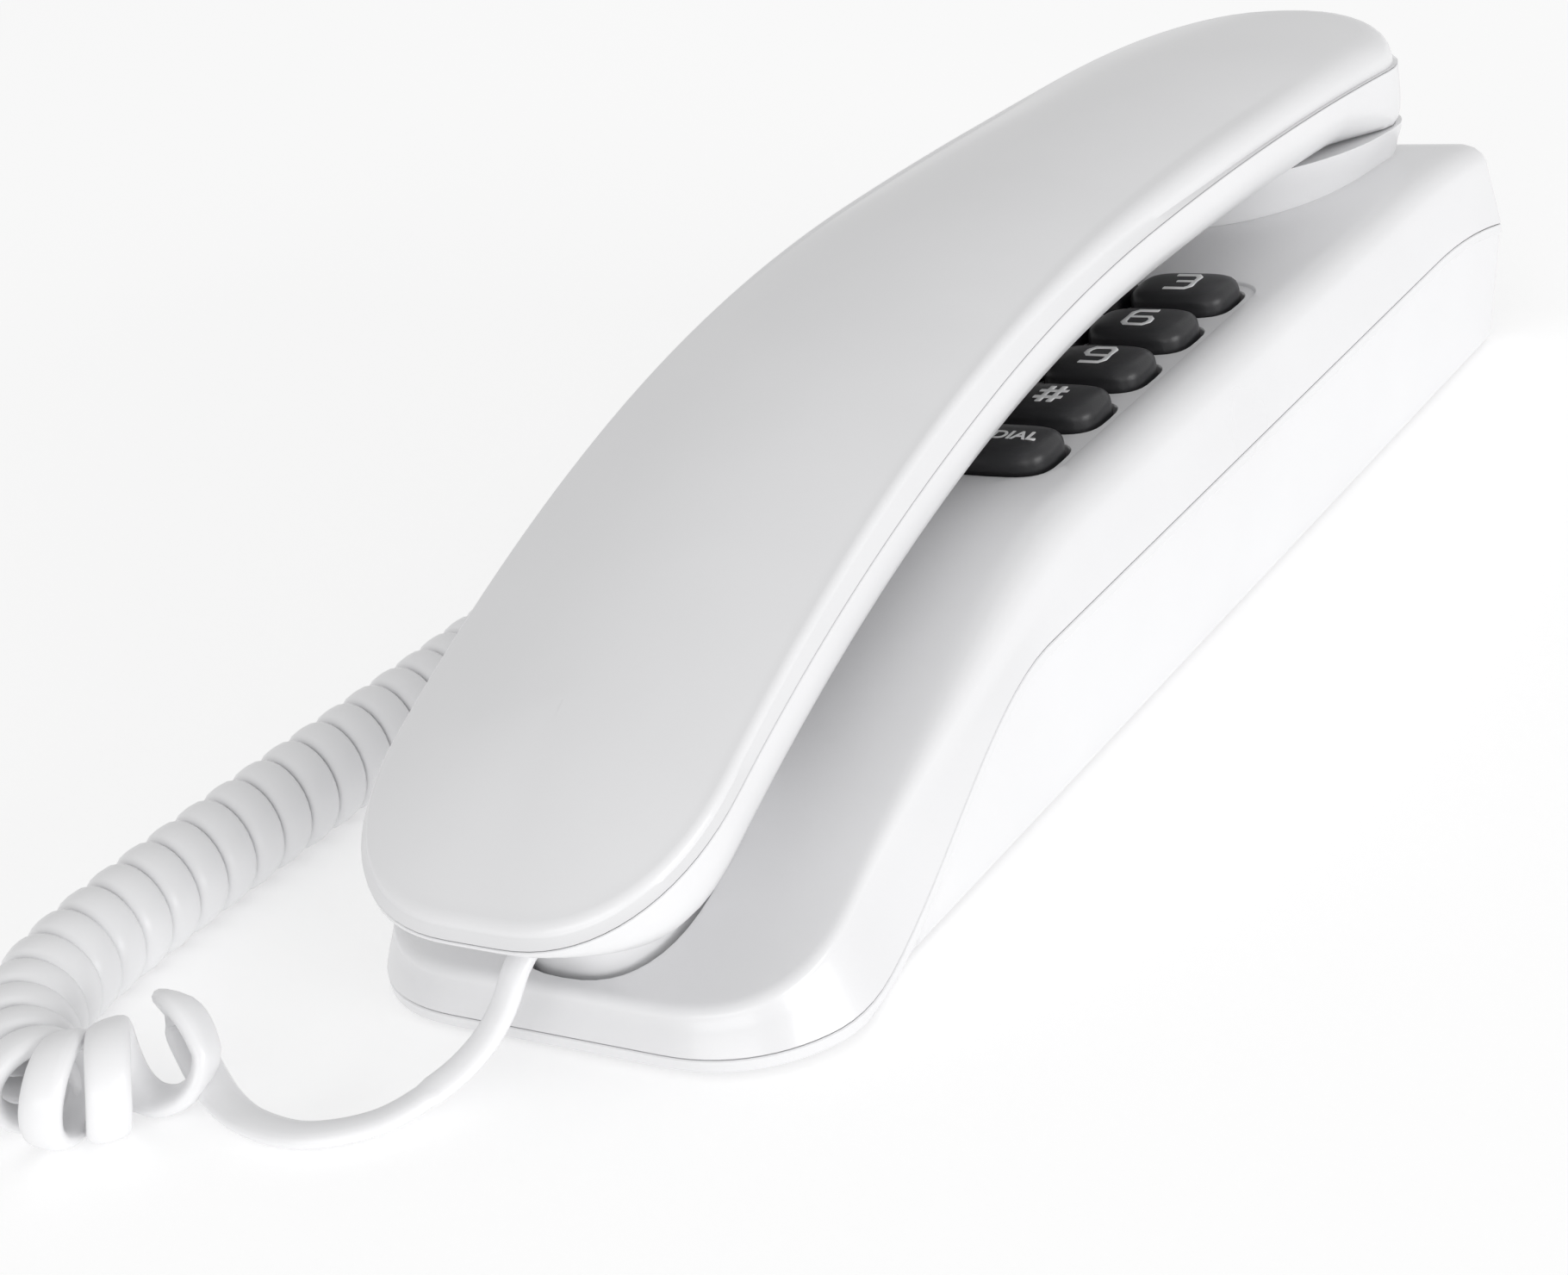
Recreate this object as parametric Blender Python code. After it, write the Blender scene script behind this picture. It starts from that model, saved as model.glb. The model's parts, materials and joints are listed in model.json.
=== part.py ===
# Slimline wall telephone, lying on its back on a table.
# Units are metres. X is across, +Y runs from the microphone end to the earpiece end, +Z is up.
# The origin is on the table under the middle of the phone.

import math

import bmesh
import bpy
from mathutils import Vector

# Base casing
BASE_LENGTH = 0.197
BASE_WIDTH = 0.060
WALL = 0.002
FLOOR_THICKNESS = 0.0018
FOOT_HEIGHT = 0.0006
FRONT_CORNER = 0.017
FAR_CORNER = 0.006
PLATEAU_HEIGHT = 0.031
FRONT_EDGE_HEIGHT = 0.0065
FAR_EDGE_DROP = 0.003
FAR_SLOPE_LENGTH = 0.030
TOP_EDGE_RADIUS = 0.004
FRONT_EDGE_RADIUS = 0.001
SIDE_DRAFT = 0.0012
UNDERCUT = 0.0028
SEAM_HEIGHT = 0.0204
SEAM_FRONT_HEIGHT = 0.0022
SEAM_FAR_DROP = 0.0044
SEAM_GAP = 0.0003

# Handset casing
HANDSET_WIDTH = 0.043
HANDSET_OVERHANG = 0.008
HANDSET_PEAK = 0.0507
PEAK_FROM_EAR_END = 0.0885
MIC_RIM_HEIGHT = 0.0195
EAR_RIM_HEIGHT = 0.0448
HANDSET_CROWN = 0.003
HANDSET_SIDE = 0.0035
HANDSET_EDGE_INSET = 0.0012
GRIP_DEPTH = 0.012
LIP_DEPTH = 0.0045
MIC_END_ROUND = 0.0185
EAR_END_ROUND = 0.0095

# Cups of the handset and the pockets that they rest in
EAR_CUP_HALF_WIDTH = 0.018
EAR_CUP_NOSE = 0.023
EAR_CUP_LENGTH = 0.0445
EAR_CUP_BOTTOM = 0.0246
MIC_CUP_HALF_WIDTH = 0.010
MIC_CUP_HALF_LENGTH = 0.0145
MIC_CUP_FROM_FRONT = 0.019
MIC_CUP_BOTTOM = 0.0046
POCKET_CLEARANCE = 0.001
POCKET_FLOOR_GAP = 0.0008
POCKET_WALL = 0.0014
END_WALL_HEIGHT = 0.0262

# Keypad
KEY_ROWS = (("1", "2", "3"), ("4", "5", "6"), ("7", "8", "9"), ("star", "0", "hash"), ("mute", "flash", "redial"))
KEY_PITCH_X = 0.0148
KEY_PITCH_Y = 0.0120
KEY_WIDTH = 0.0136
KEY_DEPTH = 0.0093
KEY_PROUD = 0.0023
KEY_TRAVEL = 0.0012
KEY_WALL = 0.0014
KEY_FLANGE = 0.0004
KEY_FLANGE_THICKNESS = 0.0009
KEY_FLANGE_GAP = 0.0005
KEY_SIDES = 16
TOP_ROW_FROM_FAR = 0.0704
RECESS_MARGIN = 0.0016
RECESS_DEPTH = 0.0005
MAT_THICKNESS = 0.0008
BOARD_THICKNESS = 0.0016
DOME_RADIUS = 0.0026

# Small parts
GAP = 0.0003
PLUG_WIDTH = 0.0076
PLUG_HEIGHT = 0.0060
PLUG_LENGTH = 0.0120
JACK_WALL = 0.0012
LINE_SOCKET_WIDTH = 0.0098
LINE_SOCKET_HEIGHT = 0.0068
LINE_SOCKET_DEPTH = 0.0120
SCREW_RADIUS = 0.0014
SCREW_HEAD_RADIUS = 0.0028
SCREW_LENGTH = 0.0075
FOOT_RADIUS = 0.0040
HOOK_TRAVEL = 0.0040
KEYHOLE_SPACING = 0.083
KEYHOLE_RADIUS = 0.0040
KEYHOLE_SLOT = 0.0044
SPEAKER_RADIUS = 0.0125
MIC_RADIUS = 0.0048

# Curly cord: a flat ribbon, 4.6 mm wide, wound to a 12 mm coil
CORD_WIDTH = 0.0046
COIL_RADIUS = 0.0060

# Derived places
Y_FAR = (BASE_LENGTH + HANDSET_OVERHANG) / 2
Y_FRONT = Y_FAR - BASE_LENGTH
Y_MIC = Y_FRONT - HANDSET_OVERHANG
FLOOR_Z = FOOT_HEIGHT
FLOOR_TOP = FLOOR_Z + FLOOR_THICKNESS
TOP_ROW_Y = Y_FAR - TOP_ROW_FROM_FAR
KEYPAD_MID_Y = TOP_ROW_Y - (len(KEY_ROWS) - 1) / 2 * KEY_PITCH_Y
KEYPAD_HALF_Y = (len(KEY_ROWS) - 1) / 2 * KEY_PITCH_Y + KEY_DEPTH / 2 + RECESS_MARGIN
KEYPAD_HALF_X = KEY_PITCH_X + KEY_WIDTH / 2 + RECESS_MARGIN
RAMP_END = KEYPAD_MID_Y - KEYPAD_HALF_Y - 0.0005
EAR_CUP_FAR = Y_FAR - 0.0035
EAR_POCKET_FLOOR = EAR_CUP_BOTTOM - POCKET_FLOOR_GAP
MIC_CUP_Y = Y_FRONT + MIC_CUP_FROM_FRONT
MIC_POCKET_FLOOR = MIC_CUP_BOTTOM - POCKET_FLOOR_GAP
SHELL_UNDER = PLATEAU_HEIGHT - WALL
MAT_TOP = SHELL_UNDER - GAP - KEY_FLANGE_THICKNESS - KEY_TRAVEL - 0.0010
BOARD_TOP = MAT_TOP - MAT_THICKNESS - GAP


def clear_scene():
    for item in list(bpy.data.objects):
        bpy.data.objects.remove(item, do_unlink=True)


def make_material(name, color, roughness, metallic=0.0):
    material = bpy.data.materials.get(name) or bpy.data.materials.new(name)
    material.use_nodes = True
    shader = material.node_tree.nodes["Principled BSDF"]
    shader.inputs["Base Color"].default_value = (*color, 1.0)
    shader.inputs["Roughness"].default_value = roughness
    shader.inputs["Metallic"].default_value = metallic
    return material


def white_plastic():
    return make_material("white_plastic", (0.84, 0.84, 0.85), 0.32)


def dark_plastic():
    return make_material("dark_plastic", (0.055, 0.055, 0.06), 0.45)


def clear_plastic():
    return make_material("clear_plastic", (0.80, 0.82, 0.84), 0.12)


def black_plastic():
    return make_material("black_plastic", (0.02, 0.02, 0.022), 0.4)


def rubber():
    return make_material("rubber", (0.10, 0.10, 0.10), 0.8)


def circuit_green():
    return make_material("circuit_board", (0.03, 0.20, 0.07), 0.5)


def steel():
    return make_material("steel", (0.60, 0.60, 0.62), 0.35, 1.0)


def brass():
    return make_material("brass", (0.80, 0.60, 0.25), 0.35, 1.0)


def cord_plastic():
    return make_material("cord_plastic", (0.82, 0.82, 0.82), 0.38)


def add_object(name, mesh, material=None, smooth_angle=None):
    thing = bpy.data.objects.new(name, mesh)
    bpy.context.scene.collection.objects.link(thing)
    if material:
        mesh.materials.append(material)
    if smooth_angle:
        mesh.shade_smooth()
        mesh.set_sharp_from_angle(angle=math.radians(smooth_angle))
    return thing


def loft(name, rings, material=None, smooth_angle=None):
    """Joins rings of equally many points and closes both ends with flat caps."""
    shape = bmesh.new()
    loops = [[shape.verts.new(point) for point in ring] for ring in rings]
    for first, second in zip(loops, loops[1:]):
        for i in range(len(first)):
            j = (i + 1) % len(first)
            shape.faces.new((first[i], first[j], second[j], second[i]))
    shape.faces.new(list(reversed(loops[0])))
    shape.faces.new(loops[-1])
    bmesh.ops.triangulate(shape, faces=shape.faces[:])
    bmesh.ops.recalc_face_normals(shape, faces=shape.faces[:])
    mesh = bpy.data.meshes.new(name)
    shape.to_mesh(mesh)
    shape.free()
    return add_object(name, mesh, material, smooth_angle)


def joined(name, outlines, material=None):
    """One mesh of several separate upright prisms, each an outline with its lowest and highest z."""
    shape = bmesh.new()
    for outline, low, high in outlines:
        bottom = [shape.verts.new((x, y, low)) for x, y in outline]
        top = [shape.verts.new((x, y, high)) for x, y in outline]
        count = len(outline)
        for i in range(count):
            j = (i + 1) % count
            shape.faces.new((bottom[i], bottom[j], top[j], top[i]))
        shape.faces.new(list(reversed(bottom)))
        shape.faces.new(top)
    bmesh.ops.recalc_face_normals(shape, faces=shape.faces[:])
    mesh = bpy.data.meshes.new(name)
    shape.to_mesh(mesh)
    shape.free()
    return add_object(name, mesh, material)


def prism(name, outline, low, high, material=None):
    return joined(name, [(outline, low, high)], material)


def side_prism(name, outline, half_width, material=None):
    """A prism across the phone: the outline is in y and z."""
    rings = [[(side * half_width, y, z) for y, z in outline] for side in (-1, 1)]
    return loft(name, rings, material)


def box(name, low, high, material=None):
    outline = [(low[0], low[1]), (high[0], low[1]), (high[0], high[1]), (low[0], high[1])]
    return prism(name, outline, low[2], high[2], material)


def turned(name, center, profile, sides, material=None, smooth_angle=40):
    """A solid of revolution about a vertical axis: the profile lists radius and z, bottom to top."""
    rings = []
    for radius, z in profile:
        ring = []
        for i in range(sides):
            angle = 2 * math.pi * i / sides
            ring.append((center[0] + radius * math.cos(angle), center[1] + radius * math.sin(angle), z))
        rings.append(ring)
    return loft(name, rings, material, smooth_angle)


def circle(center, radius, sides=14):
    points = []
    for i in range(sides):
        angle = 2 * math.pi * (i + 0.35) / sides
        points.append((center[0] + radius * math.cos(angle), center[1] + radius * math.sin(angle)))
    return points


def superellipse(center, half_x, half_y, power=2.0, sides=32):
    points = []
    for i in range(sides):
        angle = 2 * math.pi * (i + 0.5) / sides
        c, s = math.cos(angle), math.sin(angle)
        x = half_x * math.copysign(abs(c) ** (2 / power), c)
        y = half_y * math.copysign(abs(s) ** (2 / power), s)
        points.append((center[0] + x, center[1] + y))
    return points


def rounded_rectangle(center, half_x, half_y, radius, steps=3):
    points = []
    for corner in range(4):
        sign_x = 1 if corner in (0, 3) else -1
        sign_y = 1 if corner in (0, 1) else -1
        for k in range(steps + 1):
            angle = math.pi / 2 * (corner + k / steps)
            x = center[0] + sign_x * (half_x - radius) + radius * math.cos(angle)
            y = center[1] + sign_y * (half_y - radius) + radius * math.sin(angle)
            points.append((x, y))
    return points


def ear_outline(margin, far_y, steps=10):
    """The ear cup in plan: a half ellipse towards the keys, straight sides and a square far end."""
    half = EAR_CUP_HALF_WIDTH + margin
    nose = EAR_CUP_NOSE + margin
    front = Y_FAR - EAR_CUP_LENGTH - margin
    middle = front + nose
    points = [(half, far_y)]
    for k in range(steps * 2 + 1):
        angle = math.pi * k / (steps * 2)
        points.append((half * math.cos(angle), middle - nose * math.sin(angle)))
    points.append((-half, far_y))
    return points


def mic_outline(margin):
    return superellipse((0, MIC_CUP_Y), MIC_CUP_HALF_WIDTH + margin, MIC_CUP_HALF_LENGTH + margin, 2.6, 28)


def use_as_cutter(thing):
    thing.hide_render = True
    thing.display_type = "WIRE"
    return thing


def boolean(target, tools, operation="DIFFERENCE"):
    """Applies one or several tools to the target in a single Boolean."""
    tools = tools if isinstance(tools, list) else [tools]
    for tool in tools:
        use_as_cutter(tool)
    modifier = target.modifiers.new(tools[0].name, "BOOLEAN")
    modifier.operation = operation
    modifier.solver = "EXACT"
    if len(tools) == 1:
        modifier.object = tools[0]
        return
    group = bpy.data.collections.new(target.name + "_" + tools[0].name)
    bpy.context.scene.collection.children.link(group)
    for tool in tools:
        bpy.context.scene.collection.objects.unlink(tool)
        group.objects.link(tool)
    modifier.operand_type = "COLLECTION"
    modifier.collection = group


def smooth_step(value):
    value = min(1.0, max(0.0, value))
    return value * value * (3 - 2 * value)


def bezier_height(share, heights, grips):
    """Height of a cubic curve above a share of its run; grips are its two inner points' shares."""
    low, high = 0.0, 1.0
    for _ in range(40):
        u = (low + high) / 2
        run = 3 * (1 - u) ** 2 * u * grips[0] + 3 * (1 - u) * u * u * grips[1] + u ** 3
        if run < share:
            low = u
        else:
            high = u
    weights = ((1 - u) ** 3, 3 * (1 - u) ** 2 * u, 3 * (1 - u) * u * u, u ** 3)
    return sum(weight * height for weight, height in zip(weights, heights))


def base_top(y):
    """Height of the base's top face: a low front, a ramp, the keypad's level and a falling far end."""
    if y >= RAMP_END:
        past = max(0.0, y - (Y_FAR - FAR_SLOPE_LENGTH)) / FAR_SLOPE_LENGTH
        return PLATEAU_HEIGHT - FAR_EDGE_DROP * min(1.1, past) ** 2
    share = max(0.0, y - Y_FRONT) / (RAMP_END - Y_FRONT)
    foot = FRONT_EDGE_HEIGHT + 0.002
    heights = (FRONT_EDGE_HEIGHT, foot, PLATEAU_HEIGHT, PLATEAU_HEIGHT)
    return bezier_height(share, heights, (0.25, 0.68))


def seam_height(y):
    """Height of the seam between the two base shells: low round the front, then up along the sides."""
    rise = smooth_step((y - (Y_FRONT + 0.0085)) / ((RAMP_END - Y_FRONT) * 0.668))
    past = max(0.0, y - (Y_FAR - 0.028)) / 0.028
    return SEAM_FRONT_HEIGHT + (SEAM_HEIGHT - SEAM_FRONT_HEIGHT) * rise - SEAM_FAR_DROP * min(1.2, past) ** 2


def corner_width(half, distance, radius, power):
    """Half width of a plan outline at a distance in from an end with rounded corners."""
    if distance >= radius:
        return half
    share = 1 - max(0.0, distance) / radius
    return half - radius + radius * (1 - share ** power) ** (1 / power)


def base_half_width(y, inset=0.0):
    half = BASE_WIDTH / 2 - inset
    front = corner_width(half, y - Y_FRONT - inset, FRONT_CORNER - inset, 2.2)
    far = corner_width(half, Y_FAR - inset - y, FAR_CORNER - inset / 2, 2.0)
    return min(front, far)


def base_ring(y, inset, floor, arc_steps):
    """Cross-section of the base at y: floor, leaning side, seam, side, rounded top edge, top."""
    half = base_half_width(y, inset)
    top = base_top(y) - inset
    seam = seam_height(y)
    share = smooth_step((y - Y_FRONT - 0.010) / 0.015)
    radius = FRONT_EDGE_RADIUS + (TOP_EDGE_RADIUS - FRONT_EDGE_RADIUS) * smooth_step((y - Y_FRONT) / 0.060)
    radius = max(0.0005, radius - inset / 2)
    foot = half - UNDERCUT * share
    shoulder = half - SIDE_DRAFT * share
    mid = min(seam, top - radius - 0.0005)
    right = [(foot - 0.0008, floor), (foot, floor + 0.0006), (half, max(mid, floor + 0.0009))]
    for k in range(arc_steps + 1):
        angle = math.pi / 2 * k / arc_steps
        right.append((shoulder - radius + radius * math.cos(angle), top - radius + radius * math.sin(angle)))
    ring = [(x, y, z) for x, z in right] + [(0, y, top)]
    ring += [(-x, y, z) for x, z in reversed(right)] + [(0, y, floor)]
    return ring


def stations(start, end, start_round, end_round, middle_step):
    """Places along Y, close together round both ends."""
    places = [start + start_round * (1 - math.cos(math.pi / 2 * k / 5)) for k in range(5)]
    first, last = start + start_round, end - end_round
    count = max(2, round((last - first) / middle_step))
    places += [first + (last - first) * k / count for k in range(count + 1)]
    places += [end - end_round * (1 - math.sin(math.pi / 2 * k / 3)) for k in range(1, 3)]
    return places + [end]


def base_solid(name, inset=0.0, floor=None, material=None):
    floor = FLOOR_Z if floor is None else floor
    start, end = Y_FRONT + inset, Y_FAR - inset
    step, arc_steps = (0.0095, 4) if material else (0.0120, 2)
    places = stations(start, end, FRONT_CORNER - inset, FAR_CORNER - inset / 2, step)
    return loft(name, [base_ring(y, inset, floor, arc_steps) for y in places], material, 35)


def seam_cutter(name, above, shift):
    """Everything above or below the seam between the base shells."""
    places = stations(Y_FRONT - 0.002, Y_FAR + 0.002, FRONT_CORNER, FAR_CORNER, 0.0095)
    edge = [(y, seam_height(y) + shift) for y in places]
    limit = 0.08 if above else -0.02
    outline = [(edge[0][0], limit)] + edge + [(edge[-1][0], limit)]
    return side_prism(name, outline, BASE_WIDTH)


def base_screw_places():
    x = BASE_WIDTH / 2 - 0.0087
    return [(side * x, y) for y in (Y_FRONT + 0.0425, Y_FAR - 0.0210) for side in (-1, 1)]


def foot_places():
    x = BASE_WIDTH / 2 - 0.0105
    return [(side * x, y) for y in (Y_FRONT + 0.022, Y_FAR - 0.030) for side in (-1, 1)]


def key_places():
    for row, names in enumerate(KEY_ROWS):
        for column, name in enumerate(names):
            yield name, ((column - 1) * KEY_PITCH_X, TOP_ROW_Y - row * KEY_PITCH_Y)


def keypad_outline(margin):
    half_x, half_y = KEYPAD_HALF_X + margin, KEYPAD_HALF_Y + margin
    return rounded_rectangle((0, KEYPAD_MID_Y), half_x, half_y, 0.0045 + margin)


HOOK_PLACE = (0.0, Y_FAR - 0.0360)
HOOK_HALF = (0.0035, 0.0025)
BOARD_HALF = (0.0240, KEYPAD_HALF_Y + 0.0060)
BASE_JACK_Y = Y_FAR - 0.0305
BASE_JACK_Z = 0.0100
LINE_JACK_X = -0.0140
LINE_JACK_Z = 0.0104
SWITCHES = (("ringer", 0.0050), ("dial_mode", 0.0155))
SWITCH_Z = 0.0100
SLIDE_TRAVEL = 0.0034
SLIDE_HALF = (0.0020, 0.0014)


def board_post_places():
    y_offset = BOARD_HALF[1] - 0.0025
    return [(x, KEYPAD_MID_Y + y) for x in (-0.019, 0.019) for y in (-y_offset, y_offset)]


def make_base_upper_shell():
    shell = base_solid("base_upper_shell", material=white_plastic())
    lift = 0.08
    boss_bottom = FLOOR_Z + 0.0042
    columns = [(circle(place, 0.0033), boss_bottom, lift) for place in base_screw_places()]
    columns += [(circle(place, 0.0018, 10), BOARD_TOP + GAP, lift) for place in board_post_places()]
    columns = joined("columns", columns)
    ear_walls = prism("ear_pocket_walls", ear_outline(POCKET_CLEARANCE + POCKET_WALL, Y_FAR - 0.0007),
                      EAR_POCKET_FLOOR - POCKET_WALL, lift)
    mic_walls = prism("mic_pocket_walls", mic_outline(POCKET_CLEARANCE + POCKET_WALL),
                      MIC_POCKET_FLOOR - 0.0011, lift)
    trim = base_solid("inside_of_skin", 0.0006, FLOOR_Z + 0.001)
    for kept in (columns, ear_walls, mic_walls):
        boolean(kept, trim, "INTERSECT")
    hollow = base_solid("upper_cavity", WALL, FLOOR_Z - 0.01)
    boolean(shell, [hollow, seam_cutter("below_seam", False, SEAM_GAP / 2)])
    boolean(shell, [columns, ear_walls, mic_walls], "UNION")
    pocket = prism("ear_pocket", ear_outline(POCKET_CLEARANCE, EAR_CUP_FAR + POCKET_CLEARANCE), EAR_POCKET_FLOOR, lift)
    notch_half = EAR_CUP_HALF_WIDTH + POCKET_CLEARANCE
    notch = box("end_notch", (-notch_half, Y_FAR - 0.01, END_WALL_HEIGHT), (notch_half, Y_FAR + 0.01, lift))
    mic_pocket = prism("mic_pocket", mic_outline(POCKET_CLEARANCE), MIC_POCKET_FLOOR, lift)
    recess = prism("keypad_recess", keypad_outline(0), PLATEAU_HEIGHT - RECESS_DEPTH, lift)
    holes = []
    for _, place in key_places():
        outline = superellipse(place, KEY_WIDTH / 2 + GAP, KEY_DEPTH / 2 + GAP, 3.2, KEY_SIDES)
        holes.append((outline, SHELL_UNDER - 0.004, lift))
    key_holes = joined("key_holes", holes)
    hook = rounded_rectangle(HOOK_PLACE, HOOK_HALF[0] + GAP, HOOK_HALF[1] + GAP, 0.001, 2)
    hook_hole = prism("hook_hole", hook, EAR_POCKET_FLOOR - 0.006, EAR_POCKET_FLOOR + 0.002)
    bores = [(circle(place, SCREW_RADIUS + GAP, 12), -0.01, boss_bottom + 0.0065) for place in base_screw_places()]
    bores = joined("screw_bores", bores)
    boolean(shell, [pocket, notch, mic_pocket, recess, key_holes, hook_hole, bores])
    return shell


def keyhole_outline(y):
    """A wall-hanging keyhole: a round mouth with a narrower slot towards the earpiece end."""
    half = KEYHOLE_SLOT / 2
    start = math.asin(half / KEYHOLE_RADIUS)
    points = []
    for k in range(13):
        angle = math.pi / 2 + start + (2 * math.pi - 2 * start) * k / 12
        points.append((KEYHOLE_RADIUS * math.cos(angle), y + KEYHOLE_RADIUS * math.sin(angle)))
    for k in range(7):
        angle = math.pi * k / 6
        points.append((half * math.cos(angle), y + 0.0085 + half * math.sin(angle)))
    return points


def keyhole_places():
    middle = (Y_FAR + Y_FRONT) / 2 - 0.006
    return (middle - KEYHOLE_SPACING / 2, middle + KEYHOLE_SPACING / 2)


def make_base_lower_shell():
    shell = base_solid("base_lower_shell", material=white_plastic())
    cavity = base_solid("lower_cavity", WALL, FLOOR_TOP)
    rises = [(circle(place, 0.0042), FLOOR_Z, FLOOR_Z + 0.0039) for place in base_screw_places()]
    hook_seat = rounded_rectangle(HOOK_PLACE, 0.0070, 0.0045, 0.0005, 1)
    rises.append((hook_seat, FLOOR_Z, 0.0074))
    boolean(cavity, joined("lower_rises", rises))
    boolean(shell, [seam_cutter("above_seam", True, -SEAM_GAP / 2), cavity])
    holes = [(keyhole_outline(y), -0.01, FLOOR_TOP + 0.002) for y in keyhole_places()]
    holes += [(circle(place, SCREW_RADIUS + GAP, 12), -0.01, 0.01) for place in base_screw_places()]
    seats = [(circle(place, SCREW_HEAD_RADIUS + GAP), -0.011, FLOOR_Z + 0.0024) for place in base_screw_places()]
    seats += [(circle(place, FOOT_RADIUS + GAP), -0.011, FLOOR_Z + 0.0012) for place in foot_places()]
    cutters = [joined("floor_holes", holes), joined("floor_seats", seats)]
    half_width = BASE_WIDTH / 2
    jack_low = (-half_width - 0.005, BASE_JACK_Y - PLUG_WIDTH / 2 - GAP, BASE_JACK_Z - PLUG_HEIGHT / 2 - GAP)
    jack_high = (-half_width + 0.006, BASE_JACK_Y + PLUG_WIDTH / 2 + GAP, BASE_JACK_Z + PLUG_HEIGHT / 2 + GAP)
    cutters.append(box("cord_jack_window", jack_low, jack_high))
    line_low = (LINE_JACK_X - LINE_SOCKET_WIDTH / 2, Y_FAR - 0.005, LINE_JACK_Z - LINE_SOCKET_HEIGHT / 2)
    line_high = (LINE_JACK_X + LINE_SOCKET_WIDTH / 2, Y_FAR + 0.005, LINE_JACK_Z + LINE_SOCKET_HEIGHT / 2)
    cutters.append(box("line_jack_window", line_low, line_high))
    for name, x in SWITCHES:
        low = (x - SLIDE_HALF[0] - GAP, Y_FAR - 0.005, SWITCH_Z - SLIDE_HALF[1] - GAP)
        high = (x + SLIDE_HALF[0] + SLIDE_TRAVEL + GAP, Y_FAR + 0.005, SWITCH_Z + SLIDE_HALF[1] + GAP)
        cutters.append(box(name + "_window", low, high))
    boolean(shell, cutters)
    return shell


def handset_rim(y):
    """Height of the edge round the handset's top face: an arch, lower at the microphone end."""
    peak_y = Y_FAR - PEAK_FROM_EAR_END
    if y > peak_y:
        return HANDSET_PEAK - (HANDSET_PEAK - EAR_RIM_HEIGHT) * ((y - peak_y) / PEAK_FROM_EAR_END) ** 2
    run = peak_y - Y_MIC
    return HANDSET_PEAK - (HANDSET_PEAK - MIC_RIM_HEIGHT) * (min(run, peak_y - y) / run) ** 2.1


def handset_half_width(y, inset=0.0):
    half = HANDSET_WIDTH / 2 - inset
    share = 1 - max(0.0, y - Y_MIC - inset) / MIC_END_ROUND
    mic = half if share <= 0 else half * max(0.026, 1 - share ** 2.25) ** (1 / 2.25)
    return min(mic, corner_width(half, Y_FAR - inset - y, EAR_END_ROUND - inset / 2, 2.0))


def handset_depth(y):
    """Depth of the handset's underside below its rim: a thin lip that grows to the grip's depth."""
    share = min(1.0, max(0.0, y - Y_MIC) / 0.014)
    return LIP_DEPTH + (GRIP_DEPTH - LIP_DEPTH) * math.sin(math.pi / 2 * share)


def handset_places(inset):
    start, end = Y_MIC + inset, Y_FAR - inset
    return stations(start, end, MIC_END_ROUND, EAR_END_ROUND - inset / 2, 0.0140 if inset else 0.0100)


def top_shell_ring(y, inset, bottom_shift):
    half = handset_half_width(y, inset)
    rim = handset_rim(y) - inset
    seam = handset_rim(y) - HANDSET_SIDE + bottom_shift
    edge = half - min(HANDSET_EDGE_INSET, half * 0.3)
    right = [(half, seam), (half, max(seam + 0.0004, rim - 0.0016)), (half - 0.35 * (half - edge), rim - 0.0006)]
    for k in range(4):
        x = edge * (1 - k / 4)
        right.append((x, rim + HANDSET_CROWN * (1 - (x / edge) ** 2) * edge / (HANDSET_WIDTH / 2)))
    top = (0, y, rim + HANDSET_CROWN * edge / (HANDSET_WIDTH / 2))
    return [(x, y, z) for x, z in right] + [top] + [(-x, y, z) for x, z in reversed(right)]


def lower_shell_ring(y, inset, top_shift):
    half = handset_half_width(y, inset)
    seam = handset_rim(y) - HANDSET_SIDE + top_shift
    bottom = handset_rim(y) - handset_depth(y) + inset
    start = max(handset_rim(y) - HANDSET_SIDE, bottom + 0.0006)
    depth = start - bottom
    right = [(half, seam)]
    for share_x, share_z in ((0.99, 0.15), (0.93, 0.5), (0.72, 0.88), (0.36, 0.985)):
        right.append((half * share_x, min(seam - 0.0001, start - depth * share_z)))
    ring = [(x, y, z) for x, z in right] + [(0, y, start - depth)]
    return ring + [(-x, y, z) for x, z in reversed(right)]


def handset_screw_places():
    return [(0.0, Y_MIC + 0.058), (0.0, Y_FAR - 0.058)]


def make_handset_top_shell():
    places = handset_places(0)
    rings = [top_shell_ring(y, 0, SEAM_GAP / 2) for y in places]
    shell = loft("handset_top_shell", rings, white_plastic(), 35)
    hollow = [top_shell_ring(y, WALL, -0.003) for y in handset_places(WALL)]
    cavity = loft("handset_top_cavity", hollow)
    bosses = [(circle(place, 0.0032, 12), 0.0, 0.08) for place in handset_screw_places()]
    boolean(cavity, joined("handset_bosses", bosses))
    boolean(shell, cavity)
    bores = []
    for place in handset_screw_places():
        seam = handset_rim(place[1]) - HANDSET_SIDE
        bores.append((circle(place, SCREW_RADIUS + GAP, 12), seam - 0.01, seam + 0.0042))
    boolean(shell, joined("handset_bores", bores))
    return shell


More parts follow.
